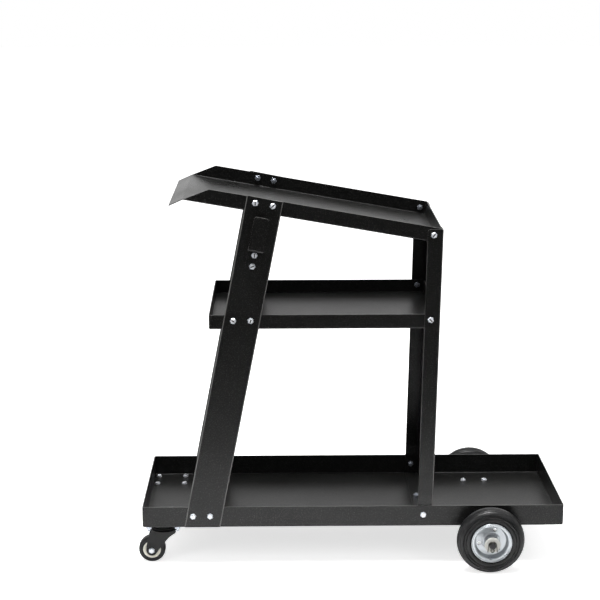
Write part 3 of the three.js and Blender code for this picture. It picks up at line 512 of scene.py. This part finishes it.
# %% Top tray
TILT = math.radians(9.9)
WALL = 26.5 * MM
RAMP = 42 * MM
LIP = 26 * MM
LIP_FALL = math.radians(34)
LIP_STEPS = 4
TOP_FRONT_X = -297.4 * MM
TOP_FRONT_Z = 693.5 * MM
top_low, top_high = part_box("top_tray")
top_corner = Vector((TOP_FRONT_X, 0, TOP_FRONT_Z))
length = (top_high.x - top_corner.x - WALL * math.sin(TILT)) / math.cos(TILT)
top_sheet = block("top_tray_sheet", (0, top_low.y, 0), (length, top_high.y, WALL))
coat(top_sheet)
pick_faces(top_sheet, lambda mid, normal: normal.z > 0.9 or normal.x < -0.9)
bpy.ops.mesh.delete(type="FACE")
pick_edges(top_sheet, lambda a, b: min(a.z, b.z) < MM and max(a.x, b.x) > MM)
bpy.ops.mesh.bevel(offset=FOLD_RADIUS, segments=5, affect="EDGES")
ramp = Vector((TRAY_SHEET - WALL, 0, RAMP)).normalized()
cut_all(top_sheet, (0, 0, TRAY_SHEET), ramp, remove=True)
pick_edges(top_sheet, lambda a, b: max(a.x, b.x) < NEAR and max(a.z, b.z) < NEAR)
bends = [LIP_FALL * i / LIP_STEPS for i in range(LIP_STEPS + 1)]
fold = [(-FOLD_RADIUS * math.sin(bend), FOLD_RADIUS * (math.cos(bend) - 1)) for bend in bends]
fold.append((fold[-1][0] - LIP * math.cos(LIP_FALL), fold[-1][1] - LIP * math.sin(LIP_FALL)))
for (x0, z0), (x1, z1) in zip(fold, fold[1:]):
    bpy.ops.mesh.extrude_region_move(TRANSFORM_OT_translate={"value": (x1 - x0, 0, z1 - z0)})
make_sheet(top_sheet, TRAY_SHEET)
put(top_sheet, Matrix.Translation(top_corner) @ Matrix.Rotation(TILT, 4, "Y"))
dress(top_sheet, "frame", "black_powder_coat", "top_tray")
print("top tray:", top_sheet.dimensions[:], "length", length)

# %% [markdown]
# ## Uprights
# The front uprights are wide channels that lean back 11 degrees; the rear ones are angles that stand
# almost plumb and step inward at the foot, so that they fit inside the bottom tray.
# A block that keeps only the wanted faces is the folded strip, and the flanges are cut away where a
# tray passes through.

# %% Front uprights
FRONT_LEAN = math.radians(11.1)
FRONT_FOOT_X = -289.6 * MM
HALF_FRONT = 32.5 * MM
FRONT_FLANGE = 16 * MM
UPRIGHT_SHEET = 2 * MM
UPRIGHT_FOLD = 1.8 * MM
NOTCH = 2 * MM
SEAT = 0.3 * MM
front_low, front_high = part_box("front_upright_left")
OUTER = front_high.y - FRONT_FLANGE
FLANGE_END = -front_high.y
bottom_low, bottom_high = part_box("bottom_tray")
TRAY_SIDE = bottom_high.y + SEAT
front_crest = front_high.z - HALF_FRONT * math.sin(FRONT_LEAN)
middle_low, middle_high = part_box("middle_tray")
level_bands = [(0.0, bottom_high.z + NOTCH), (middle_low.z - NOTCH, middle_high.z + NOTCH)]
slope = Vector((math.sin(TILT), 0, math.cos(TILT)))


def under_top_tray(point):
    return (point - top_corner).dot(slope) + NOTCH


def front_upright(name, side):
    ends = sorted((side * FLANGE_END, side * -OUTER))
    height = front_crest / math.cos(FRONT_LEAN)
    channel = block(f"front_channel_{name}", (-HALF_FRONT, ends[0], 0), (HALF_FRONT, ends[1], height))
    coat(channel)
    pick_faces(channel, lambda mid, normal: abs(normal.z) > 0.9 or normal.y * side < -0.9)
    bpy.ops.mesh.delete(type="FACE")
    pick_edges(channel, lambda a, b: min(a.y * side, b.y * side) > -OUTER - MM and abs(a.z - b.z) > MM)
    # The folds take material 1, the painted edge highlight.
    bpy.ops.mesh.bevel(offset=UPRIGHT_FOLD, segments=5, affect="EDGES", material=1)
    put(channel, Matrix.Translation((FRONT_FOOT_X, 0, 0)) @ Matrix.Rotation(FRONT_LEAN, 4, "Y"))
    cut_all(channel, (0, 0, front_low.z), (0, 0, -1), remove=True)
    cut_all(channel, (0, side * TRAY_SIDE, 0), (0, 1, 0))
    for low, high in level_bands:
        cut_all(channel, (0, 0, low), (0, 0, 1))
        cut_all(channel, (0, 0, high), (0, 0, 1))
    cut_all(channel, top_corner - slope * NOTCH, slope)

    def in_a_tray(mid, normal):
        banded = any(low < mid.z < high for low, high in level_bands) or under_top_tray(mid) > 0
        return banded and mid.y * side < TRAY_SIDE

    pick_faces(channel, in_a_tray)
    bpy.ops.mesh.delete(type="FACE")
    make_sheet(channel, UPRIGHT_SHEET)
    return dress(channel, "frame", "black_powder_coat", f"front_upright_{name}")


for name, side in SIDES:
    made = front_upright(name, side)
    print(made.name, made.dimensions[:])

# %% Rear uprights
REAR_LEAN = math.radians(1.07)
REAR_FOOT_X = 122.4 * MM
REAR_WIDTH = 27.7 * MM
REAR_FLANGE = 30 * MM
REAR_CORNER = 4 * MM
STEP = 4.1 * MM
STEP_LOW = bottom_high.z + NOTCH
STEP_HIGH = STEP_LOW + 18 * MM
rear_low, rear_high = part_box("rear_upright_left")
long_rear = rear_high.z / math.cos(REAR_LEAN)


def rear_upright(name, side):
    ends = sorted((side * (-OUTER - REAR_FLANGE), side * -OUTER))
    angle = block(f"rear_angle_{name}", (0, ends[0], 0), (REAR_WIDTH, ends[1], long_rear))
    coat(angle)
    pick_faces(angle, lambda mid, n: abs(n.z) > 0.9 or n.y * side < -0.9 or n.x < -0.9)
    bpy.ops.mesh.delete(type="FACE")
    pick_edges(angle, lambda a, b: min(a.x, b.x) > REAR_WIDTH - MM and abs(a.z - b.z) > MM
               and min(a.y * side, b.y * side) > -OUTER - MM)
    # The fold takes material 1, the painted edge highlight.
    bpy.ops.mesh.bevel(offset=UPRIGHT_FOLD, segments=5, affect="EDGES", material=1)
    pick_points(angle, lambda p: p.x < MM and p.z > long_rear - MM)
    bpy.ops.mesh.bevel(offset=REAR_CORNER, segments=5, affect="VERTICES")
    cut_all(angle, (0, 0, STEP_LOW), (0, 0, 1))
    cut_all(angle, (0, 0, STEP_HIGH), (0, 0, 1))
    pick_points(angle, lambda p: p.z < STEP_LOW + 0.1 * MM)
    bpy.ops.transform.translate(value=(0, -side * STEP, 0))
    pick_edges(angle, lambda a, b: abs(a.z - b.z) < NEAR and STEP_LOW - MM < a.z < STEP_HIGH + MM)
    bpy.ops.mesh.bevel(offset=FOLD_RADIUS, segments=3, affect="EDGES")
    put(angle, Matrix.Translation((REAR_FOOT_X, 0, 0)) @ Matrix.Rotation(REAR_LEAN, 4, "Y"))
    cut_all(angle, (0, 0, rear_low.z), (0, 0, -1), remove=True)
    make_sheet(angle, UPRIGHT_SHEET)
    return dress(angle, "frame", "black_powder_coat", f"rear_upright_{name}")


for name, side in SIDES:
    made = rear_upright(name, side)
    print(made.name, made.dimensions[:])

# %% [markdown]
# ## Foot strip and cable hooks
# A flat strip ties the feet of the rear uprights across the tray floor.
# A hook is a strip bent twice: up the upright, out for a shelf and up again for a lip. A plane starts
# as its base, and its top edge is extruded out and up before the bends are bevelled round.

# %% Foot strip
STRIP_EDGE = 0.4 * MM
strip_low, strip_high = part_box("rear_foot_plate")
foot_strip = block("foot_strip", strip_low, strip_high)
pick_edges(foot_strip, lambda a, b: abs(a.z - b.z) > MM)
bpy.ops.mesh.bevel(offset=FOLD_RADIUS, segments=4, affect="EDGES")
foot_strip.data.materials.append(powder_coat)
round_edges(foot_strip, STRIP_EDGE)
dress(foot_strip, "frame", "black_powder_coat", "rear_foot_plate")
print(foot_strip.name, foot_strip.dimensions[:])

# %% Cable hooks
HOOK_WIDTH = 26 * MM
HOOK_BASE = 42 * MM
HOOK_LIP = 60 * MM
HOOK_SHEET = 2.5 * MM
HOOK_CORNER = 5 * MM
HOOK_BEND = 2.2 * MM
HOOK_UNDER_TOP = 86.5 * MM
hook_low, hook_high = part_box("cable_hook_left")
HOOK_NEAR = -hook_high.y
HOOK_FAR = -hook_low.y
HOOK_SHELF = (front_crest - HOOK_UNDER_TOP) / math.cos(FRONT_LEAN)


def cable_hook(name, side):
    reach = HOOK_FAR - HOOK_NEAR - HOOK_SHEET
    clear_selection()
    bpy.ops.mesh.primitive_plane_add(size=1, location=(0, side * HOOK_NEAR, HOOK_SHELF - HOOK_BASE / 2),
                                     rotation=(math.pi / 2, 0, 0))
    strip = bpy.context.object
    strip.name = f"hook_strip_{name}"
    coat(strip)
    strip.scale = (HOOK_WIDTH, HOOK_BASE, 1)
    bpy.ops.object.transform_apply(location=True, rotation=True, scale=True)
    pick_edges(strip, lambda a, b: min(a.z, b.z) > HOOK_SHELF - MM)
    bpy.ops.mesh.extrude_region_move(TRANSFORM_OT_translate={"value": (0, side * reach, 0)})
    bpy.ops.mesh.extrude_region_move(TRANSFORM_OT_translate={"value": (0, 0, HOOK_LIP)})
    pick_points(strip, lambda p: abs(p.z - HOOK_SHELF) > HOOK_BASE / 2)
    bpy.ops.mesh.bevel(offset=HOOK_CORNER, segments=5, affect="VERTICES")
    pick_edges(strip, lambda a, b: abs(a.x - b.x) > 10 * MM and abs(a.z - HOOK_SHELF) < MM
               and abs(b.z - HOOK_SHELF) < MM)
    bpy.ops.mesh.bevel(offset=HOOK_BEND, segments=5, affect="EDGES")
    bpy.ops.object.mode_set(mode="OBJECT")
    base = min(strip.data.polygons, key=lambda face: face.center.z)
    make_sheet(strip, HOOK_SHEET, offset=1.0 if base.normal.y * side > 0 else -1.0)
    put(strip, Matrix.Translation((FRONT_FOOT_X, 0, 0)) @ Matrix.Rotation(FRONT_LEAN, 4, "Y"))
    return dress(strip, "frame", "black_powder_coat", f"cable_hook_{name}")


for name, side in SIDES:
    made = cable_hook(name, side)
    print(made.name, made.dimensions[:])

# %% [markdown]
# ## Bolts
# The cart is held by zinc hexagon bolts with nuts inside; the upper ones have a short screwdriver slot.
# One bolt is modelled head up: a six-sided cylinder with its rim bevelled, a slot cut across it, a
# washer face, a threaded shank and a nut. Each of the others is made the same way with its own grip.
# The bevel and the nut are shinier metal than the tumbled top, and their darker tone is painted shade on
# the flanks; the slot is painted dark inside, a painted shade in the recess.


# %% One bolt
HEX_RADIUS = 5.77 * MM
HEAD_LOW = 0.7 * MM
HEAD = 4.1 * MM
HEAD_BEVEL = 1.1 * MM
SLOT_HALF = 1 * MM
SLOT_END = 3.3 * MM
SLOT_FLOOR = 2.2 * MM
WASHER_RADIUS = 4.9 * MM
WASHER_LOW = 0.1 * MM
SMALL_RIM = 0.2 * MM
SHANK_RADIUS = 3 * MM
THREAD_RADIUS = 3.12 * MM
THREAD_START = 0.55 * MM
THREAD_STEP = 1 * MM
NUT = 5 * MM
NUT_GAP = 0.1 * MM
TAIL = 2 * MM
ENDS = HEAD + NUT_GAP + NUT + TAIL
BOLT_EDGE = 0.12 * MM


def short_rod(sides, radius, z0, z1, rim, faces="BOTH", segments=3):
    clear_selection()
    bpy.ops.mesh.primitive_cylinder_add(vertices=sides, radius=radius, depth=z1 - z0,
                                        location=(0, 0, (z0 + z1) / 2))
    rod = bpy.context.object
    bpy.ops.object.transform_apply(location=True, rotation=True, scale=True)
    pick_edges(rod, lambda a, b: abs(a.z - b.z) < 1e-6 and (faces == "BOTH" or a.z > (z0 + z1) / 2))
    bpy.ops.mesh.bevel(offset=rim, segments=segments, affect="EDGES")
    bpy.ops.object.mode_set(mode="OBJECT")
    return rod


def joined(name, pieces):
    clear_selection()
    for piece in pieces:
        piece.select_set(True)
    bpy.context.view_layer.objects.active = pieces[0]
    bpy.ops.object.join()
    whole = bpy.context.object
    whole.name = name
    return whole


def carve(piece, cutter):
    modify(piece, "BOOLEAN", operation="DIFFERENCE", object=cutter, solver="EXACT")
    activate(cutter)
    bpy.ops.object.delete()


def tint_faces(piece, slot, wanted):
    pick_faces(piece, wanted)
    piece.active_material_index = slot
    bpy.ops.object.material_slot_assign()
    bpy.ops.object.mode_set(mode="OBJECT")


def in_slot(mid):
    inside = abs(mid.x) < SLOT_END + 0.1 * MM and abs(mid.y) < SLOT_HALF + NEAR
    return inside and SLOT_FLOOR - 0.2 * MM < mid.z < HEAD - 0.1 * MM


def slotted_bolt(name, grip, tail=TAIL, slotted=True):
    nut_top = -grip - NUT_GAP
    end = nut_top - NUT - tail
    head = short_rod(6, HEX_RADIUS, HEAD_LOW, HEAD, HEAD_BEVEL, "TOP", 1)
    if slotted:
        low, high = (-SLOT_END, -SLOT_HALF, SLOT_FLOOR), (SLOT_END, SLOT_HALF, 2 * HEAD)
        carve(head, block("slot_cutter", low, high))
    washer = short_rod(28, WASHER_RADIUS, WASHER_LOW, HEAD_LOW + 0.05 * MM, SMALL_RIM)
    nut = short_rod(6, HEX_RADIUS, nut_top - NUT, nut_top, 0.6 * MM)
    shank = short_rod(16, SHANK_RADIUS, end, 0.5 * MM, 0.5 * MM)
    rings = []
    for i in range(int(tail / THREAD_STEP)):
        low = end + THREAD_START + i * THREAD_STEP
        rings.append(short_rod(16, THREAD_RADIUS, low, low + THREAD_STEP / 2, SMALL_RIM))
    bolt = joined(name, [head, washer, nut, shank, *rings])
    for material in (bright_zinc, bolt_flank, bolt_slot):
        bolt.data.materials.append(material)
    # Bevels, nut and shank take the darker zinc, partly painted shade.
    tint_faces(bolt, 1, lambda mid, normal: mid.z < 0 or 0.1 < normal.z < 0.9)
    if slotted:
        # The slot faces take the painted shade finish.
        tint_faces(bolt, 2, lambda mid, normal: in_slot(mid))
    round_edges(bolt, BOLT_EDGE, 1)
    return bolt


# %% Bolts of the uprights and hooks
turns = {"bottom_front_1": 20, "bottom_front_2": 65, "middle_front_1": 35, "middle_front_2": -70,
         "top_front_1": 90, "top_front_2": -40, "middle_rear": 45, "top_rear": -50, "bottom_rear": 10,
         "hook_1": 95, "hook_2": -20}
HEAD_OUT = Matrix.Rotation(math.pi / 2, 4, "X")


def side_bolt(node, body, side, turn, slotted=True):
    low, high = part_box(node)
    mid = (low + high) / 2
    seat = Vector((mid.x, low.y + HEAD if side < 0 else high.y - HEAD, mid.z))
    bolt = slotted_bolt(node.replace("bolt", "screw"), high.y - low.y - ENDS, slotted=slotted)
    about = Matrix.Rotation(0 if side < 0 else math.pi, 4, "Z") @ Matrix.Rotation(turn, 4, "Y")
    put(bolt, Matrix.Translation(seat) @ about @ HEAD_OUT)
    return dress(bolt, body, "zinc_fastener", node)


for name, side in SIDES:
    for spot, turn in turns.items():
        slotted = not spot.startswith("bottom")
        side_bolt(f"bolt_{spot}_{name}", "frame", side, math.radians(turn), slotted)
    side_bolt(f"caster_axle_bolt_{name}", f"caster_swivel_{name}", side, 0, slotted=False)
print("side bolts:", 2 * len(turns) + 2)

# %% Bolts through the bottom tray
PLATE_HOLE_X = 26.7 * MM
PLATE_HOLE_Y = 21 * MM
PLATE_GRIP = 4.3 * MM
PLATE_TAIL = 5 * MM
for name, _ in SIDES:
    for end in ("front", "rear"):
        node = f"bolt_bracket_{end}_{name}"
        low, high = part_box(node)
        mid = (low + high) / 2
        bolt = slotted_bolt(f"screw_bracket_{end}_{name}", high.z - low.z - ENDS)
        put(bolt, Matrix.Translation((mid.x, mid.y, high.z - HEAD)))
        dress(bolt, "frame", "zinc_fastener", node)
low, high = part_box("bolt_foot_plate")
bolt = slotted_bolt("screw_foot_strip", high.z - low.z - ENDS)
put(bolt, Matrix.Translation(((low.x + high.x) / 2, 0, low.z + HEAD)) @ Matrix.Rotation(math.pi, 4, "X"))
dress(bolt, "frame", "zinc_fastener", "bolt_foot_plate")
for name, side in SIDES:
    low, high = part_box(f"caster_plate_{name}")
    mid = (low + high) / 2
    for along, x in (("front", -PLATE_HOLE_X), ("rear", PLATE_HOLE_X)):
        for across, y in (("inner", -PLATE_HOLE_Y), ("outer", PLATE_HOLE_Y)):
            bolt = slotted_bolt(f"screw_caster_{along}_{across}_{name}", PLATE_GRIP, PLATE_TAIL)
            put(bolt, Matrix.Translation((mid.x + x, mid.y + side * y, bottom_low.z + TRAY_SHEET)))
            dress(bolt, "frame", "zinc_fastener", None)
print("bolts through the tray done")

# %% [markdown]
# ## Rear wheels
# A wheel is a rubber tyre on a pressed steel rim that turns on an off-white flanged bush.
# Turned parts are drawn as half a section: one point is extruded along the profile, then the line is
# spun once round the axle. Rings on the sidewall and grooves in the tread are small steps in the profile.


# %% Turning helper
def drawn_line(name, places):
    clear_selection()
    bpy.ops.mesh.primitive_plane_add(size=MM)
    piece = bpy.context.object
    piece.name = name
    bpy.ops.object.mode_set(mode="EDIT")
    bpy.ops.mesh.select_mode(type="VERT")
    bpy.ops.mesh.select_all(action="SELECT")
    bpy.ops.mesh.merge(type="CENTER")
    bpy.ops.transform.translate(value=places[0])
    for start, end in zip(places, places[1:]):
        bpy.ops.mesh.extrude_vertices_move(TRANSFORM_OT_translate={"value": end - start})
    bpy.ops.mesh.select_all(action="SELECT")
    return piece


def turned(name, profile, steps=72):
    piece = drawn_line(name, [Vector((radius, along, 0)) * MM for radius, along in profile])
    bpy.ops.mesh.spin(steps=steps, angle=2 * math.pi, center=(0, 0, 0), axis=(0, 1, 0))
    bpy.ops.mesh.select_all(action="SELECT")
    bpy.ops.mesh.remove_doubles(threshold=0.002 * MM)
    bpy.ops.mesh.normals_make_consistent(inside=False)
    bpy.ops.object.mode_set(mode="OBJECT")
    bpy.ops.object.shade_smooth_by_angle(angle=SMOOTH_TURNED)
    return piece


def mirrored(half):
    return [(radius, -along) for radius, along in reversed(half)]


def both_sides(half):
    return [*half, *mirrored(half), half[0]]


def on_circle(centre, radius, angles):
    turns = [math.radians(angle) for angle in angles]
    return [(centre[0] + radius * math.cos(turn), centre[1] + radius * math.sin(turn)) for turn in turns]


# %% Tyres
TYRE_RADIUS = 62.5
TYRE_HALF = 16
TYRE_CROWN = 13
SIDE_FLOOR = 14
RING_START, RING_MIDDLE, RING_END = 38.5, 46.3, 50.9


def crown(angle, sunk=0.0):
    a = math.radians(angle)
    across = (TYRE_HALF - 0.3 * sunk) * math.cos(a)
    return (TYRE_RADIUS - sunk - TYRE_CROWN * (1 - math.sin(a)), across)


def ridge(start, end, height, steps=6):
    shares = [i / steps for i in range(1, steps + 1)]
    return [(start + (end - start) * t, SIDE_FLOOR + height * math.sin(math.pi * t)) for t in shares]


rings = [*ridge(RING_START, RING_MIDDLE, 2), *ridge(RING_MIDDLE, RING_END, 1.5)]
sidewall = [(32.3, 13.5), (37.7, 13.7), (RING_START, SIDE_FLOOR), *rings]
tread = [crown(a) for a in (14, 20, 28)]
for groove in (36, 50, 64, 78):
    tread += [crown(groove - 4), crown(groove - 2.6, 0.9), crown(groove + 2.6, 0.9), crown(groove + 4)]
tyre_half = [*sidewall, *tread, (TYRE_RADIUS, 0.9)]


def wheel_place(node, side):
    low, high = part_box(node)
    return Matrix.Translation((low + high) / 2) @ Matrix.Rotation(0 if side > 0 else math.pi, 4, "Z")


for name, side in SIDES:
    tyre = turned(f"tyre_{name}", both_sides(tyre_half), 96)
    put(tyre, wheel_place(f"rear_tyre_{name}", side))
    dress(tyre, f"rear_wheel_{name}", "tyre_rubber", f"rear_tyre_{name}", tyre_rubber)
    print(tyre.name, tyre.dimensions[:], len(tyre.data.polygons), "faces")

# %% [markdown]
# ### Rims, bushes and axle
# The rim is pressed from thin sheet: a deep dish, a drum under the tyre and rolled edges.
# Three small holes are cut through the dish, and the hub tube stands out past the rim's edge.
# The bush ends in a collar on each side. A split pin through the axle's end has its legs bent down over
# both sides.

# %% Rims
HUB_OUT = 24
RIM_HALF = 17
WEB_OUT = 3
WEB_IN = 0.5
DRUM_OUT = 32
DRUM_IN = 30.3
HOLE_RADIUS = 3.3 * MM
HOLE_CIRCLE = 21.7 * MM
HOLE_TURN = 12.4
HOLE_REACH = 6 * MM
rolled = on_circle((36.6, RIM_HALF - 1), 1, range(150, -91, -30))
hub_foot = [(12.1, 6.2), (12.6, 5.2), (13.6, 4.6), (15.2, 4.4), (16.2, 3.8), (17, 3.1), (18, WEB_OUT)]
dish_wall = [(26.8, WEB_OUT), (27.9, 3.3), (28.6, 4.2), (30.3, 13.6), (30.8, 14.8), (31.7, 15.5)]
rim_profile = [
    (9.9, HUB_OUT), (11.8, HUB_OUT), (12.1, HUB_OUT - 0.3), *hub_foot, *dish_wall, (33, 15.7), (34.8, 15.6),
    (35.4, 15.9), *rolled, (34.4, 14.4), (DRUM_OUT, 13.9), (DRUM_OUT, -13.9), (34.4, -14.4),
    *mirrored(rolled), (35.2, -15.9), (DRUM_IN, -15.4), (DRUM_IN, WEB_IN), (12.1, WEB_IN),
    (12.1, 0.3 - RIM_HALF), (11.8, -RIM_HALF), (9.9, -RIM_HALF), (9.9, HUB_OUT),
]
for name, side in SIDES:
    rim = turned(f"rim_{name}", rim_profile, 96)
    for i in range(3):
        drill = short_rod(24, HOLE_RADIUS, -HOLE_REACH, HOLE_REACH, SMALL_RIM)
        turn = Matrix.Rotation(math.radians(HOLE_TURN - 120 * i), 4, "Y")
        around = turn @ Matrix.Translation((HOLE_CIRCLE, 0, 0))
        put(drill, around @ Matrix.Rotation(math.pi / 2, 4, "X"))
        carve(rim, drill)
    activate(rim)
    bpy.ops.object.shade_smooth_by_angle(angle=SMOOTH_TURNED)
    put(rim, wheel_place(f"rear_tyre_{name}", side))
    dress(rim, f"rear_wheel_{name}", "rim_zinc", f"rear_rim_{name}", dull_zinc)
    print(rim.name, rim.dimensions[:])

# %% Bushes and axle
collar = [(6.25, 1.6), (6.7, 2), (14.2, 2), (14.75, 1.4), (14.75, 0.6), (14.4, 0.15), (9.75, 0.15)]
outer_collar = [(radius, HUB_OUT + along) for radius, along in collar]
inner_collar = mirrored([(radius, RIM_HALF + along) for radius, along in collar])
for name, side in SIDES:
    bush = turned(f"bush_{name}", [*outer_collar, *inner_collar, outer_collar[0]], 48)
    put(bush, wheel_place(f"rear_tyre_{name}", side))
    dress(bush, f"rear_wheel_{name}", "cream_plastic", f"rear_bush_{name}", bush_plastic)
axle_low, axle_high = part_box("rear_axle")
axle_mid = (axle_low + axle_high) / 2
half_axle = axle_high.y / MM
axle_half = [(0, half_axle), (4.9, half_axle), (5.6, half_axle - 0.3), (6, half_axle - 1)]
axle = turned("axle_rod", [*axle_half, *mirrored(axle_half)], 40)
put(axle, Matrix.Translation(axle_mid))
dress(axle, "frame", "axle_black", "rear_axle", axle_black)
print(axle.name, axle.dimensions[:])


# %% Split pins
def bent_wire(name, points, radius):
    line = bpy.data.curves.new(name, "CURVE")
    line.dimensions = "3D"
    line.bevel_depth = radius
    line.bevel_resolution = 3
    line.use_fill_caps = True
    path = line.splines.new("POLY")
    path.points.add(len(points) - 1)
    for point, place in zip(path.points, points):
        point.co = (*place, 1)
    wire = bpy.data.objects.new(name, line)
    bpy.context.scene.collection.objects.link(wire)
    activate(wire)
    bpy.ops.object.convert(target="MESH")
    wire = bpy.context.object
    bpy.ops.object.shade_smooth_by_angle(angle=SMOOTH_SHEET)
    return wire


PIN_WIRE = 0.85 * MM
pin_eye = on_circle((0, -10), 3, range(-75, 61, 15))
over_axle = on_circle((0, 0), 7.4, range(70, -1, -10))
half_pin = [(0, -13), *pin_eye, (0.8, -6.8), (0.8, 5.2), (1.1, 6.4), (2, 7.2), *over_axle, (7.5, -1),
            (8.6, -12.6)]
for name, _ in SIDES:
    low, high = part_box(f"split_pin_{name}")
    mid = (low + high) / 2
    legs = []
    for hand in (-1, 1):
        places = [Vector((hand * x * MM, 0, z * MM)) for x, z in half_pin]
        legs.append(bent_wire(f"pin_leg_{hand}", places, PIN_WIRE))
    pin = joined(f"pin_{name}", legs)
    put(pin, Matrix.Translation((axle_mid.x, mid.y, axle_mid.z)))
    # The pin's dark finish is steel with painted shade on its legs.
    dress(pin, "frame", "zinc_fastener", f"split_pin_{name}", pin_steel_and_shade)
    print(pin.name, pin.dimensions[:])

# %% [markdown]
# ## Casters
# A caster is a plate with a ball cup, a pressed fork that swivels under it and a wheel that trails it.
# The plate and the fork's legs are blocks and outlines with their edges rounded; cup, crown, tyre and
# core are turned like the rear wheels.

# %% Caster plates
CASTER_SHEET = 2.5 * MM
PLATE_CORNER = 6 * MM
PLATE_EDGE = 0.4 * MM
cup_profile = [(0, -2), (26, -2), (25, -3), (23.4, -3.8), (23, -5), (23, -6.6), (21.4, -7.4),
               (21.4, -8.4), (23, -9.2), (22.8, -11.4), (21.8, -12.5), (0, -12.5)]
kingpin_profile = [(0, -9), (6, -9), (6, -16), (9, -16), (8.8, -17.4), (7, -18.4), (0, -18.5)]
for name, _ in SIDES:
    node = f"caster_plate_{name}"
    low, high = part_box(node)
    mid = (low + high) / 2
    plate = block("plate", (low.x, low.y, high.z - CASTER_SHEET), high)
    pick_edges(plate, lambda a, b: abs(a.z - b.z) > MM)
    bpy.ops.mesh.bevel(offset=PLATE_CORNER, segments=5, affect="EDGES")
    bpy.ops.object.mode_set(mode="OBJECT")
    cup = turned("cup", cup_profile, 48)
    pin = turned("kingpin", kingpin_profile, 32)
    for round_part in (cup, pin):
        put(round_part, Matrix.Translation((mid.x, mid.y, high.z)) @ Matrix.Rotation(math.pi / 2, 4, "X"))
    whole = joined(f"swivel_plate_{name}", [plate, cup, pin])
    round_edges(whole, PLATE_EDGE)
    # The whole swivel plate takes the near-black finish, a painted shade under the tray.
    dress(whole, "frame", "caster_black", node, cup_painted_shade)
    print(whole.name, whole.dimensions[:])

# %% Caster forks
def outlined_sheet(name, outline, y, thickness):
    piece = drawn_line(name, [Vector((x, y, z)) * MM for x, z in outline])
    bpy.ops.mesh.edge_face_add()
    bpy.ops.mesh.normals_make_consistent(inside=False)
    bpy.ops.object.mode_set(mode="OBJECT")
    modify(piece, "SOLIDIFY", thickness=thickness, offset=0.0)
    return piece


TRAIL = 23
CASTER_RADIUS = 25
FORK_END = 10.5
FORK_EDGE = 0.7 * MM
LEG_MIDDLE = 12.75
fork_end = on_circle((-TRAIL, CASTER_RADIUS), FORK_END, range(180, 331, 15))
leg_outline = [(21.2, 66.5), (-21.2, 66.5), (-23.2, 61.7), (-26.6, 56), (-29.4, 50), (-31.6, 40),
               (-33.1, 31), *fork_end, (-9.8, 26), (-5, 32), (2, 41.5), (10.6, 51.4), (17, 56),
               (21.4, 59), (23.2, 61.7)]
crown_profile = [(6.5, 0), (24.1, 0), (25.1, -0.5), (25.5, -1.4), (25.3, -2.5), (6.5, -2.5), (6.5, 0)]
for name, _ in SIDES:
    node = f"caster_fork_{name}"
    swivel = next(j for j in frame["joints"] if j["name"] == f"caster_swivel_{name}")["pos_m"]
    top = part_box(node)[1].z
    disc = turned("crown", crown_profile, 56)
    put(disc, Matrix.Translation((0, 0, top)) @ Matrix.Rotation(math.pi / 2, 4, "X"))
    legs = [outlined_sheet("leg", leg_outline, hand * LEG_MIDDLE, CASTER_SHEET) for hand in (-1, 1)]
    fork = joined(f"fork_{name}", [disc, *legs])
    round_edges(fork, FORK_EDGE, 3)
    put(fork, Matrix.Translation((swivel[0], swivel[1], 0)))
    dress(fork, f"caster_swivel_{name}", "caster_black", node, caster_black)
    print(fork.name, fork.dimensions[:])

# %% Caster wheels
roll_half = [(16.8, 9.3), (17.3, 9.5), *on_circle((20.6, 5.1), 4.4, range(90, -1, -15)), (CASTER_RADIUS, 1)]
core_half = [(3.5, 10.8), (3.8, 11), (7.0, 11), (7.5, 10.6), (7.7, 7.4), (8.3, 6.7), (9, 6.5), (13.0, 6.5),
             (13.6, 6.6), (13.9, 7.4), (14.0, 9.1), (14.4, 9.5), (16.1, 9.5), (16.5, 9.2)]
for name, side in SIDES:
    roll = turned(f"caster_roll_{name}", both_sides(roll_half), 72)
    put(roll, wheel_place(f"caster_tyre_{name}", side))
    dress(roll, f"caster_wheel_{name}", "caster_rubber", f"caster_tyre_{name}", caster_rubber)
    core = turned(f"caster_hub_{name}", both_sides(core_half), 64)
    put(core, wheel_place(f"caster_core_{name}", side))
    dress(core, f"caster_wheel_{name}", "cream_plastic", f"caster_core_{name}", cream_plastic)
    print(roll.name, roll.dimensions[:], core.name, core.dimensions[:])

# %% [markdown]
# ## What stays from the frame
# The axle brackets and the spacer tubes are right as they are, so they only get their finishes.

# %% Finishes on the remaining solids
for name, _ in SIDES:
    for node, material in ((f"axle_bracket_{name}", powder_coat), (f"axle_spacer_{name}", axle_black)):
        kept = frame["nodes"][node]
        kept.data.materials.clear()
        kept.data.materials.append(material)
        print("kept", node)
